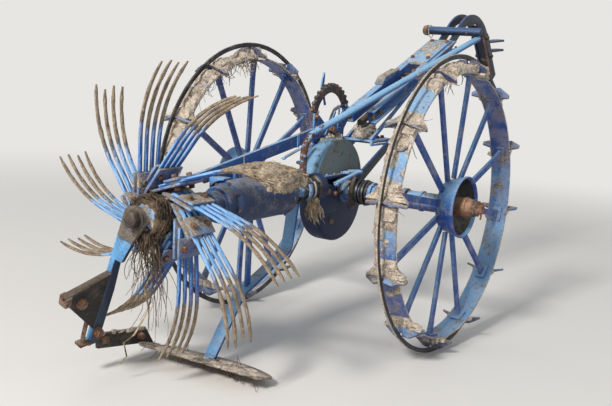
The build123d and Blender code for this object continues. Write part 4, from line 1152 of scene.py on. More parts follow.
@dataclass
class Axle:
    """The axle's ends with their nuts and split pins, and the tubes round it."""

    radius: float = 19
    nut_start: float = 573
    nut_across: float = 50
    nut_thick: float = 22
    nut_washer: float = 31
    end: float = 611
    bore: float = 20
    flange_radius: float = 48
    root_radius: float = 40
    tube_radius: float = 34
    tube_end: float = 300
    bolt_count: int = 6
    bolt_circle: float = 39
    boot: tuple[tuple[float, float, float], ...] = (
        (40, 9, 47), (51, 10, 51), (64, 7, 46), (74, 12, 52), (89, 8, 47), (100, 13, 52), (116, 10, 48))

    @staticmethod
    def outboard(hand: int) -> Matrix:
        """Axes whose z points outboard along the axle."""
        return Matrix(((0, 1, 0), (0, 0, hand), (hand, 0, 0))).to_4x4()

    def ends(self) -> None:
        """Builds the axle, its nuts and the split pins bent over at its ends."""
        shape = Shape.chassis(21)
        end, radius, nut, washer = self.end, self.radius, self.nut_start, self.nut_washer
        for hand in HANDS:
            turn = self.outboard(hand)
            shape.turned([(-1, 0), (-1, radius), (end - 5, radius), (end - 1, radius - 3), (end, 0)], 40, turn)
            shape.turned([(nut, radius), (nut, washer), (nut + 4, washer), (nut + 4, radius)], 40, turn)
            shape.bolt((0, hand * (nut + 3), 0), (0, hand, 0), self.nut_across, self.nut_thick - 4)
            long_leg = (-8, 603, 27), (-3, 603, 8), (2, 603, -12), (9, 600, -30), (16, 596, -38)
            short_leg = (-10, 604, 24), (-16, 601, 31), (-25, 597, 33)
            for leg, thick in ((long_leg, 3.4), (short_leg, 3.2)):
                shape.bar([(x, y * hand, z) for x, y, z in leg], [(thick, thick)], sides=8)
        shape.made("axle_with_nuts", Finish.RUSTY, "axle")

    def tube(self, side: str, hand: int, start: float) -> None:
        """Builds one fixed tube with its flange, collar and ringed boot.

        Args:
            side: Its side.
            hand: RIGHT_HAND or LEFT_HAND.
            start: Where it leaves the gear case.
        """
        shape = Shape.chassis(22)
        root, radius, end, flange = self.root_radius, self.tube_radius, self.tube_end, self.flange_radius
        profile = shifted(start, (0, self.bore), (0, flange - 2), (2, flange), (10, flange), (12, flange - 2))
        profile += shifted(start, (13, root), (132, root), (133, 44), (142, 44), (143, radius))
        profile += shifted(end, (-19, radius), (-18, radius + 7), (-1, radius + 7), (0, radius), (0, self.bore))
        shape.turned(profile, 64, self.outboard(hand))
        for k in range(self.bolt_count):
            turn = k * FULL_TURN / self.bolt_count
            spot = (self.bolt_circle * math.cos(turn), hand * (start + 141), self.bolt_circle * math.sin(turn))
            shape.bolt(spot, (0, hand, 0), 9, 6)
        shape.made(f"axle_tube_{side}_turned", Finish.BLUE_RUSTY, f"axle_tube_{side}")
        rings = Shape.chassis(23)
        for low, wide, reach in self.boot:
            sides = (0, 39), (1, reach - 2), (0.4 * wide, reach), (wide - 1, reach - 2), (wide, 39)
            rings.turned(shifted(low + start, *sides), 48, self.outboard(hand))
        rings.roughened(1.2, 14)
        rings.made(f"axle_tube_{side}_boot", Finish.GREASE_AND_SHADE)

    def build(self) -> None:
        """Builds the axle."""
        self.ends()
        self.tube("right", RIGHT_HAND, 14)
        self.tube("left", LEFT_HAND, 72)


@dataclass
class GearBox:
    """The gear case under its half-drum cover, with its recess, bolts, fittings and caught straw."""

    right: float = -14
    left: float = 72
    rear: float = -200
    front: float = 148
    split: float = 62
    depth: float = 204
    lip: float = 11
    lip_thick: float = 7
    lip_gap: float = 0.3
    cover_height: float = 142
    corner: float = 15
    recess_foot: float = 27
    recess_wall: float = 6
    shoulder_out: float = 22
    lip_bolts: tuple[float, ...] = (-196, -140, -84, -28, 28, 84, 146)
    ribs: tuple[float, ...] = (-196, -28, 140)
    hanging_straw: int = 120
    strewn_straw: int = 26

    @property
    def middle(self) -> float:
        """Middle of its length."""
        return (self.rear + self.front) / 2

    @property
    def lip_corners(self) -> list[Spot]:
        """The outline of the lip."""
        rear, front = self.rear - self.lip, self.front + self.lip
        right, left = self.right - self.lip, self.left + self.lip
        return [(rear, right), (front, right), (front, left), (rear, left)]

    def cover(self) -> None:
        """Builds the cover and its half of the lip."""
        half, rise = (self.front - self.rear) / 2 - 4, self.cover_height
        radius = (half * half + rise * rise) / (2 * rise)
        sweep = math.degrees(math.asin(half / radius))
        arc = arc_points((self.middle, self.split + rise - radius), radius, 90 - sweep, 90 + sweep, 48)
        dome = Shape.chassis(31)
        dome.plate(arc, self.right + 6, self.left - 6)
        dome.eased(self.corner, 50, 4)
        dome.roughened(0.8, 60)
        foot = Shape.chassis(32)
        foot.slab(self.lip_corners, self.split + self.lip_gap, self.split + self.lip_thick)
        foot.eased(2)
        for x in self.lip_bolts:
            for y in (self.right - 2.5, self.left + 2.5):
                foot.bolt((x, y, self.split + self.lip_thick), AXIS_Z, 10, 6)
        foot.made("gear_cover_lip", Finish.BLUE_RUSTY)
        dome.made("gear_cover_dome", Finish.COVER, "gear_cover")

    def case(self) -> None:
        """Builds the lower case with its recess, its half of the lip, ribs, plug and seat."""
        half = (self.front - self.rear) / 2
        outline = [(self.front, self.recess_foot), (self.rear, self.recess_foot)]
        outline += arc_points((self.middle, half - self.depth), half, 180, 360, 40)
        pot = Shape.chassis(33)
        pot.plate(outline, self.right, self.left)
        pot.eased(self.corner, 50, 4)
        rear, front, low, high = self.rear, self.front, self.recess_foot - 12, self.split - 2
        pot.plate([(rear, low), (front, low), (front, high), (rear, high)], self.recess_wall, self.left)
        pot.roughened(0.9, 70)
        plug = Matrix.Translation((self.middle, 29, -self.depth + 2))
        pot.turned([(-1, 0), (-1, 22), (4, 22), (4, 0)], 24, plug)
        pot.made("gear_case_pot", Finish.CASE, "gear_case")
        trim = Shape.chassis(34)
        trim.slab(self.lip_corners, self.split - self.lip_thick, self.split - self.lip_gap)
        for x in self.ribs:
            high = self.split - 7
            trim.plate([(x - 4, 20), (x + 4, 20), (x + 4, high), (x - 4, high)], self.recess_wall + 1, -10)
        for degrees in (140, 40):
            turn = math.radians(degrees)
            trim.bolt((self.rear - 4, 29 + 34 * math.cos(turn), 28 + 34 * math.sin(turn)), (-1, 0, 0), 16, 10, 11)
        trim.eased(1.5)
        trim.made("gear_case_trim", Finish.CASE)
        seat = Shape.shaft(35)
        seat.turned(shifted(self.rear, (-16, 0), (-16, 50), (-12, 53), (20, 53), (20, 0)), 64)
        seat.made("gear_case_seat", Finish.CASE)

    def shoulder(self) -> None:
        """Builds the arched shoulder on the right wall and the bolts there."""
        face, out = self.right, self.right - self.shoulder_out
        raised = Shape.chassis(36)
        raised.plate([*arc_points((-148, -38), 76, 4, 176, 24), (-214, -76), (-82, -76)], face + 4, out)
        raised.eased(9, 50, 4)
        raised.roughened(1.2, 40)
        raised.made("gear_case_shoulder", Finish.CASE)
        bolts = Shape.chassis(37)
        bolts.bolt((-164, out, 12), TO_RIGHT, 20, 11, 14)
        bolts.bolt((-108, out, -2), TO_RIGHT, 15, 9, 10)
        for x, z in ((-88, -118), (64, -76)):
            bolts.bolt((x, face, z), TO_RIGHT, 16, 9, 11)
        bolts.made("gear_case_bolts", Finish.BRIGHT_RUST)

    def neck_fittings(self) -> None:
        """Builds the collar, the strap and the block round the neck and the tabs on the lip."""
        rows = (
            (44, 51, -298, range(150, 223, 9), (10, 3.5), 1.4, "shaft_neck_collar", Finish.PLATE),
            (45, 49, -262, range(140, 229, 8), (4.5, 1.6), 0.6, "shaft_neck_strap", Finish.WIRE),
        )
        for seed, radius, along, turns, size, corner, name, finish in rows:
            shape = Shape.shaft(seed)
            path = [(radius * math.cos(turn), radius * math.sin(turn), along) for turn in map(math.radians, turns)]
            shape.bar(path, [size], across=AXIS_Z, corner=corner)
            shape.made(name, finish)
        block = Shape.shaft(46)
        block.bar([(-44, 6, -372), (-60, 6, -370)], [(13, 17)], across=AXIS_Z, corner=3)
        block.bolt((-60, 12, -370), (-1, 0, 0), 12, 8)
        block.made("shaft_neck_block", Finish.PLATE)
        tabs = Shape.chassis(49)
        for x, y, z in ((-22, -30, 72), (16, -30, 74), (62, -30, 70)):
            tabs.bar([(x, y + 8, z), (x + 3, y - 16, z + 3)], [(9, 6)], across=AXIS_X, corner=2)
            tabs.bolt((x, y - 15, z + 2), TO_RIGHT, 12, 8)
        tabs.made("gear_case_tabs", Finish.PLATE)

    def fittings(self) -> None:
        """Builds the brown plate, the upright bar and the slanting bar at the lip."""
        plate = Shape.chassis(47)
        plate.plate([(-70, 50), (-22, 50), (-18, -26), (-50, -22)], self.right - 3, self.right - 11)
        plate.eased(1.2)
        plate.bolt((-44, self.right - 11, -4), TO_RIGHT, 15, 8, 10)
        plate.made("gear_case_side_plate", Finish.BROWN)
        upright = Shape.chassis(48)
        path = [(-30, -76, 62), (-48, -80, 38), (-54, -82, 6), (-50, -80, -28), (-30, -77, -50)]
        upright.bar(path, [(9, 3.5)], across=(0.5, -0.9, 0), corner=1)
        upright.made("gear_case_upright_bar", Finish.BROWN)
        slant = Shape.chassis(38)
        path = [(-114, -38, 36), (-62, -62, 58), (-10, -80, 80)]
        slant.bar(path, [(8, 6)], across=AXIS_Y, corner=2)
        for x, y, z in path[::2]:
            slant.bolt((x, y - 7, z), TO_RIGHT, 14, 9, 10)
        slant.made("gear_case_slant_bar", Finish.PLATE)

    def straw(self) -> None:
        """Hangs the straw caught at the case's rear and strews a little over the cover."""
        caught = Strands("gear_case_straw", machine.chassis(), "frame", 39, thick=(0.9, 1.9))
        draw = random.Random(40)
        for _ in range(self.hanging_straw):
            start = (draw.uniform(-316, -240), draw.uniform(-54, -44), draw.uniform(-30, 2))
            caught.wander(start, (draw.uniform(-0.2, 0.3), -0.1, -1), draw.uniform(16, 84), 0.42, 0.22)
        for _ in range(self.strewn_straw):
            x = self.middle + draw.uniform(-110, 60)
            top = self.split + self.cover_height - (x - self.middle) ** 2 / 330
            start = (x, draw.uniform(0, 60), top + 1)
            way = (draw.uniform(-1, 1), draw.uniform(-1, 1), 0.05)
            caught.wander(start, way, draw.uniform(12, 34), 0.35, 0.08, 4)
        caught.build()

    def build(self) -> None:
        """Builds the gear case and its cover."""
        self.case()
        self.cover()
        self.shoulder()
        self.neck_fittings()
        self.fittings()
        self.straw()


@dataclass
class ShaftHousing:
    """The neck and the drum round the rotor shaft."""

    neck_front: float = -216
    neck_radius: float = 47
    rim_radius: float = 52
    band_radius: float = 51
    front: float = -398
    rear: float = -752
    radius: float = 76
    rolled_edge: float = 1.5
    collar_rear: float = -800
    collar_radius: float = 62
    seal_rear: float = -840
    seal_radius: float = 44
    bore: float = 22.55

    @staticmethod
    def bolt_ring(shape: Shape, count: int, phase: float, radius: float, along: float, across: float) -> None:
        """Adds bolts in a circle, with their heads to the rear.

        Args:
            shape: The mesh.
            count: How many.
            phase: Where the first one is, as a share of the step between two.
            radius: Radius of the circle.
            along: Where their heads sit along the shaft.
            across: Across their flats.
        """
        for k in range(count):
            turn = FULL_TURN * (k + phase) / count
            shape.bolt((radius * math.cos(turn), radius * math.sin(turn), along), (0, 0, -1), across, 6)

    def neck(self) -> None:
        """Builds the neck with its rim, bolts and clamp."""
        shape = Shape.shaft(41)
        front, radius, rim, band = self.neck_front, self.neck_radius, self.rim_radius, self.band_radius
        profile = shifted(front, (0, 0), (0, rim - 2), (-2, rim), (-10, rim), (-12, rim - 2), (-14, radius))
        profile += shifted(front, (-120, radius), (-121, band), (-140, band), (-141, radius))
        shape.turned([*profile, (self.front, radius), (self.front, 0)], 64)
        self.bolt_ring(shape, 6, 0.5, 48, front - 12, 9)
        shape.made("shaft_neck_turned", Finish.GREASE_AND_SHADE, "shaft_neck")

    def drum(self) -> None:
        """Builds the drum, its rolled edges and the stepped collar."""
        shape = Shape.shaft(42)
        radius, collar, seal, bore = self.radius, self.collar_radius, self.seal_radius, self.bore
        rolled = radius + self.rolled_edge
        profile = shifted(self.front, (0, 0), (0, 51), (-22, radius - 5), (-26, radius - 1), (-32, radius))
        profile += shifted(self.front, (-33, rolled), (-43, rolled), (-44, radius))
        profile += shifted(self.rear, (30, radius), (29, rolled), (8, rolled), (2, radius - 2))
        profile += shifted(self.rear, (0, radius - 6), (-1, 65), (-4, collar))
        profile += shifted(self.collar_rear, (4, collar), (0, collar - 4), (-1, 47), (-4, seal))
        profile += shifted(self.seal_rear, (3, seal), (0, seal - 3), (0, bore), (70, bore), (70, 0))
        shape.turned(profile, 96)
        shape.roughened(0.7, 60)
        shape.made("shaft_drum_turned", Finish.DRUM, "shaft_drum")
        bolts = Shape.shaft(43)
        self.bolt_ring(bolts, 8, 0.3, 69, self.rear, 10)
        bolts.made("shaft_drum_bolts", Finish.RUSTY)

    def build(self) -> None:
        """Builds the housing."""
        self.neck()
        self.drum()


@dataclass
class Rotor:
    """The turning rotor: hub, clamps with bolts, forty tines and what has caught on them."""

    arm_count: int = 10
    arm_phase: float = 17.5
    tines: int = 4
    offset: float = 84
    root: float = 28
    straight: float = 198
    bend_radius: float = 396
    bend: float = 38
    straight_parts: int = 6
    bend_parts: int = 14
    half_width: float = 7.4
    half_thick: float = 4.8
    half_tip: float = 3
    root_pitch: float = 24
    tip_pitch: float = 39
    root_middle: float = -1038
    tip_middle: float = -1014
    hub_rear: float = -1142
    hub_front: float = -984
    hub_bore: float = 22.5
    hub_radius: float = 54
    disc_radius: float = 84
    clamp_bolt_out: float = 91
    clamp_bolt_apart: float = 34
    clamp_rear: float = 97
    clamp_front: float = 71
    clogged_arm: int = 5
    clog_blocks: int = 14
    clog_straw: int = 420
    wrap_vines: int = 150
    wrap_ends: int = 60
    hanging_vines: int = 110
    hang_rear: float = -1161
    hang_front: float = -1096

    def axes(self, arm: int) -> tuple[Vector, Vector]:
        """The ways outwards along an arm, numbered from 1, and ahead of it as the rotor turns."""
        turn = math.radians(self.arm_phase + 360 * (arm - 1) / self.arm_count)
        return Vector((math.cos(turn), math.sin(turn), 0)), Vector((-math.sin(turn), math.cos(turn), 0))

    def line(self, arm: int, place: float, more: float = 0) -> list[Vector]:
        """The middle line of a tine.

        Args:
            arm: The arm's number.
            place: The tine's place in the arm, 0 in the middle.
            more: Degrees of bend beyond the drawn ones.

        Returns:
            Points from root to tip, in the shaft's axes.
        """
        out, ahead = self.axes(arm)
        parts, radius = self.straight_parts, self.bend_radius
        flat = [(self.root + self.straight * k / parts, -self.offset) for k in range(parts)]
        sweep = math.radians(self.bend + more)
        for k in range(self.bend_parts + 1):
            angle = sweep * k / self.bend_parts
            rise = radius * (1 - math.cos(angle)) - self.offset
            flat.append((self.root + self.straight + radius * math.sin(angle), rise))
        start = self.root_middle + place * self.root_pitch
        end = self.tip_middle + place * self.tip_pitch
        spread = [Vector((0, 0, start + (end - start) * k / (len(flat) - 1))) for k in range(len(flat))]
        return [out * reach + ahead * rise + along for (reach, rise), along in zip(flat, spread)]

    def arm(self, number: int) -> None:
        """Builds the four tines of one arm, lightly caked towards their tips.

        Args:
            number: The arm's number, from 1.
        """
        shape = Shape.shaft(50 + number)
        for k in range(self.tines):
            path = self.line(number, k - (self.tines - 1) / 2, shape.draw.uniform(-2.2, 0.3))
            off = Vector((7.0 * number, 3.0 * k, 0))
            sizes = []
            for step, spot in enumerate(path):
                share = step / (len(path) - 1)
                cake = smooth_step(share, 0.4, 0.62) * (0.4 + 1.3 * noise.noise(spot / 22 + off))
                thick = self.half_thick + (self.half_tip - self.half_thick) * share
                wide = self.half_width * (1 - 0.26 * share)
                tip = 1 - 0.42 * smooth_step(share, 0.9, 1)
                sizes.append(((wide + max(cake, 0)) * tip, (thick + max(cake, 0)) * tip))
            shape.bar(path, sizes, across=AXIS_Z, corner=1.8)
        shape.roughened(0.5, 9)
        shape.made(f"tine_arm_{number}_bars", Finish.TINE, f"tine_arm_{number}", body="rotor")

    def hub(self) -> None:
        """Builds the hub, the clamps and their bolts."""
        hub = Shape.shaft(61)
        bore, radius, disc = self.hub_bore, self.hub_radius, self.disc_radius
        profile = shifted(self.hub_rear, (0, bore), (0, 38), (2, 42), (9, radius - 2), (14, radius))
        profile += shifted(self.hub_front, (0, radius), (0, disc - 3), (3, disc), (11, disc), (14, disc - 3), (15, 38))
        profile += shifted(self.hub_front, (52, 36.5), (54, 34), (54, bore))
        hub.turned(profile, 80)
        hub.made("rotor_hub_turned", Finish.BLUE_MUDDY, "rotor_hub", body="rotor")
        clamps = Shape.chassis(62)
        clamps.copied("tine_clamps")
        clamps.eased(1.6)
        clamps.made("tine_clamp_plates", Finish.BLUE_MUDDY, "tine_clamps", body="rotor")
        bolts = Shape.shaft(63)
        for arm in range(1, self.arm_count + 1):
            out, ahead = self.axes(arm)
            for along in (-self.clamp_bolt_apart, self.clamp_bolt_apart):
                spot = out * self.clamp_bolt_out + Vector((0, 0, self.root_middle + along))
                bolts.bolt(spot - ahead * self.clamp_rear, -ahead, 16, 10, 12)
                bolts.bolt(spot - ahead * self.clamp_front, ahead, 16, 10, 11)
        bolts.made("tine_clamp_bolts", Finish.RUSTY, body="rotor")

    def clog(self) -> None:
        """Builds the mass of soil and straw packed on the clogged arm."""
        mass = Shape.shaft(64)
        path = self.line(self.clogged_arm, 0.1)[self.straight_parts :]
        last = len(path) - 1
        sizes = []
        for k in range(last + 1):
            share = k / last
            grow = smooth_step(share, 0.05, 0.75)
            sizes.append((26 + 46 * grow, 5 + 24 * grow - 5 * smooth_step(share, 0.85, 1)))
        mass.bar(path, sizes, sides=36, across=AXIS_Z)
        mass.divided(1)
        way = (path[last] - path[last - 1]).normalized()
        side = Vector(AXIS_Z)
        up = way.cross(side)
        for _ in range(self.clog_blocks):
            spot = path[last] - way * mass.draw.uniform(0, 40)
            spot += side * mass.draw.uniform(-62, 62) + up * mass.draw.uniform(-20, 20)
            mass.block(spot, mass.random_size(8, 20), 0.5, 3)
        mass.roughened(8, 38)
        mass.roughened(3, 8)
        mass.made("rotor_soil_mass", Finish.CLOD, body="rotor", sharp=56)
        straw = Strands("rotor_mass_straw", machine.shaft(), "rotor", 65, thick=(0.9, 2.0))
        draw = random.Random(66)
        for _ in range(self.clog_straw):
            k = draw.randint(1, last - 1)
            way = (path[k + 1] - path[k]).normalized()
            wide, thick = sizes[k]
            turn = draw.uniform(0, FULL_TURN)
            start = path[k] + side * (wide * math.cos(turn)) + way.cross(side) * (thick * 1.05 * math.sin(turn))
            straw.wander(start, way, draw.uniform(20, 64) if k < last - 2 else draw.uniform(14, 38), 0.12)
        straw.build()

    def wrap(self) -> None:
        """Wraps the hub behind the clamps in dead vines."""
        rear, front = self.hub_rear + 1, self.hub_front - 108
        wrap = Shape.shaft(70)
        swelling = [(rear + (front - rear) * k / 8, 55 + 4 * math.sin(math.pi * k / 8)) for k in range(9)]
        wrap.turned([(rear, 30), (rear, self.hub_radius), *swelling, (front, self.hub_radius)], 90)
        wrap.roughened(6, 20)
        wrap.roughened(2.4, 6)
        wrap.made("rotor_vine_wrap", Finish.VINE, body="rotor", sharp=50)
        vines = Strands("rotor_vines", machine.shaft(), "rotor", 67, thick=(1.0, 2.4), finish=Finish.VINE)
        draw = random.Random(68)
        last = 10
        for _ in range(self.wrap_vines):
            along = draw.uniform(rear, front)
            start, arc = draw.uniform(0, FULL_TURN), draw.uniform(0.8, 3.0)
            radius, drift = draw.uniform(56, 68), draw.uniform(-16, 16)
            points = []
            for k in range(last + 1):
                turn = start + arc * k / last
                reach = radius + draw.uniform(-4, 5) + (7 if k in (0, last) else 0)
                across = min(max(along + drift * k / last + draw.uniform(-2, 2), rear - 4), front + 6)
                points.append(Vector((reach * math.cos(turn), reach * math.sin(turn), across)))
            vines.paths.append(points)
        for _ in range(self.wrap_ends):
            turn = draw.uniform(0, FULL_TURN)
            start = (56 * math.cos(turn), 56 * math.sin(turn), draw.uniform(rear + 4, front))
            vines.wander(start, (math.cos(turn), math.sin(turn) - 0.4, 0.1), draw.uniform(14, 40), 0.7)
        vines.build()

    def hang(self) -> None:
        """Hangs the long vines and roots that are caught behind the arm's head."""
        hanging = Strands("hanging_vines", machine.chassis(), "frame", 69, thick=(1.0, 2.3), finish=Finish.VINE)
        draw = random.Random(71)
        for number in range(self.hanging_vines):
            start = (draw.uniform(-1156, -1146), draw.uniform(-34, 30), draw.uniform(-22, -12))
            if number % 3:
                start = (draw.uniform(-1140, -1098), draw.uniform(-36, 44), draw.uniform(-34, -22))
            length = 50 + 290 * draw.random() ** 2
            hanging.wander(start, (0.3, draw.uniform(-0.4, 0.4), -1), length, 0.34, 0.2, 9)
            for spot in hanging.paths[-1]:
                spot.x = min(max(spot.x, self.hang_rear), self.hang_front)
        hanging.build()
        root = Strands("hanging_root", machine.chassis(), "frame", 72, thick=(4.8, 5.4))
        turns = [(-1110, -34, -24), (-1100, -36, -60), (-1102, -22, -140), (-1100, -6, -205), (-1106, 30, -280)]
        turns += [(-1100, 62, -345), (-1114, 74, -400), (-1126, 100, -443), (-1120, 118, -470)]
        root.paths.append(rounded_path(turns, 30, 4))
        root.build()

    def build(self) -> None:
        """Builds the rotor."""
        for number in range(1, self.arm_count + 1):
            self.arm(number)
        self.hub()
        self.clog()
        self.wrap()
        self.hang()


@dataclass
class MainBeam:
    """The angle beam from the drum to the quadrant, with its straps and the pale brace under it."""

    face: float = 60
    rear: Spot = (-840, 124)
    front: Spot = (-70, 252)
    depth: float = 46
    strap_gap: float = 1.5
    straps: tuple[tuple[float, float, Finish], ...] = ((-575, 1.4, Finish.WIRE), (-236, 7, Finish.PLATE))
    bolts: tuple[float, ...] = (-800, -742, -150, -96)
    brace: tuple[Point, ...] = ((-342, 55, 142), (-250, 52, 168), (-158, 44, 186))

    def top(self, x: float) -> float:
        """Height of the beam's top edge."""
        return self.rear[1] + (x - self.rear[0]) * (self.front[1] - self.rear[1]) / (self.front[0] - self.rear[0])

    def build(self) -> None:
        """Builds and dresses the beam."""
        copy_dressed("main_beam", Finish.BLUE)
        gap = self.strap_gap
        for number, (x, wide, finish) in enumerate(self.straps, 1):
            high, low = self.top(x) + gap, self.top(x) - self.depth - gap
            near, far = self.face - gap, self.face + 16 + gap
            loop = [(x, near, low), (x, near, high), (x, far, high - 1), (x, far, low), (x, near + 6, low)]
            shape = Shape.chassis(80 + number)
            shape.bar(rounded_path(loop, 2.5, 3), [(wide, 1.3)], across=AXIS_X, corner=0.5)
            shape.made(f"main_beam_strap_{number}", finish)
        bolts = Shape.chassis(83)
        for x in self.bolts:
            bolts.bolt((x, self.face, self.top(x) - 24), TO_RIGHT, 17, 9, 11)
        bolts.made("main_beam_bolts", Finish.RUSTY)
        brace = Shape.chassis(84)
        brace.bar(self.brace, [(7, 3)], across=(0.2, 1, 0), corner=1)
        x, y, z = self.brace[0]
        brace.bolt((x, y - 4, z + 3), (0, -1, 0.2), 12, 8)
        brace.made("main_beam_brace", Finish.PLATE)


@dataclass
class Controls:
    """The lever, the toothed quadrant on its bracket, the pointer and the small links round them."""

    bracket: float = 67.3
    pivot: Spot = (18, 272)
    pointer_turn: float = 112
    pointer_y: float = 93.4
    pointer_tip: Spot = (-24, 458)
    lumps: int = 14
    bolts: tuple[tuple[float, float, float], ...] = (
        (-105, 286, 18), (-104, 244, 15), (142, 282, 18), (124, 300, 13), (-58, 118, 17), (52, 112, 17))
    hook: tuple[Spot, ...] = ((-6, 250), (0, 296), (24, 326), (62, 340), (104, 342), (140, 326), (146, 300))

    def pointer_spot(self, reach: float) -> Vector:
        """A place along the pointer's rod, so far from the pivot."""
        turn = math.radians(self.pointer_turn)
        return Vector((self.pivot[0] + reach * math.cos(turn), self.pointer_y, self.pivot[1] + reach * math.sin(turn)))

    def pointer(self) -> None:
        """Builds the pointer, a thin rod inside the ring and a flat blade above its teeth."""
        shape = Shape.chassis(91)
        shape.bar([self.pointer_spot(62), self.pointer_spot(146)], [(5, 3)], across=AXIS_X, corner=1)
        knee, tip = self.pointer_spot(140), Vector((self.pointer_tip[0], self.pointer_y, self.pointer_tip[1]))
        blade = [knee, knee.lerp(tip, 0.5), knee.lerp(tip, 0.9), tip]
        shape.bar(blade, [(9, 3.5), (8, 3.5), (5, 3), (3, 2.4)], across=AXIS_X, corner=1)
        shape.made("quadrant_pointer", Finish.BLUE, "latch")

    def links(self) -> None:
        """Builds the pivot bolt, the bracket's bolts, the arched hook and the small plates."""
        face = self.bracket
        bolts = Shape.chassis(92)
        for x, z, size in self.bolts:
            bolts.bolt((x, face, z), TO_RIGHT, size, 9, 0.65 * size)
        bolts.bolt((10, face, 232), TO_RIGHT, 26, 16, 17)
        bolts.made("bracket_bolts", Finish.BRIGHT_RUST)
        hook = Shape.chassis(93)
        hook.bar(rounded_path([(x, 71, z) for x, z in self.hook], 18, 3), [(5, 6)], across=AXIS_Y, corner=1.5)
        hook.made("bracket_hook", Finish.GREASE_AND_SHADE)
        plates = Shape.chassis(94)
        plates.plate([(-92, 222), (-20, 196), (-12, 212), (-80, 252)], face + 0.5, face - 6)
        plates.bar([(-44, 60, 214), (-20, 52, 262), (6, 50, 306)], [(5, 2.5)], across=AXIS_X, corner=0.8)
        plates.bar([(46, 62, 196), (50, 58, 330)], [(4, 4)], sides=10)
        plates.plate([(36, 196), (78, 196), (72, 240), (40, 236)], face + 0.5, face - 10)
        plates.made("bracket_links", Finish.BLUE)
        lumps = Shape.chassis(95)
        for _ in range(self.lumps):
            spot = (lumps.draw.uniform(-90, 90), lumps.draw.uniform(52, 66), lumps.draw.uniform(196, 214))
            lumps.clod(spot, lumps.random_size(6, 13))
        lumps.made("bracket_soil", Finish.SOIL, sharp=50)

    def build(self) -> None:
        """Builds the controls."""
        copy_dressed("lever", Finish.LEVER, ease=0.8)
        copy_dressed("lever_boss", Finish.BROWN)
        copy_dressed("pivot_bracket", Finish.BLUE)
        copy_dressed("quadrant", Finish.TEETH, ease=1.4, rough=0.8)
        self.pointer()
        self.links()


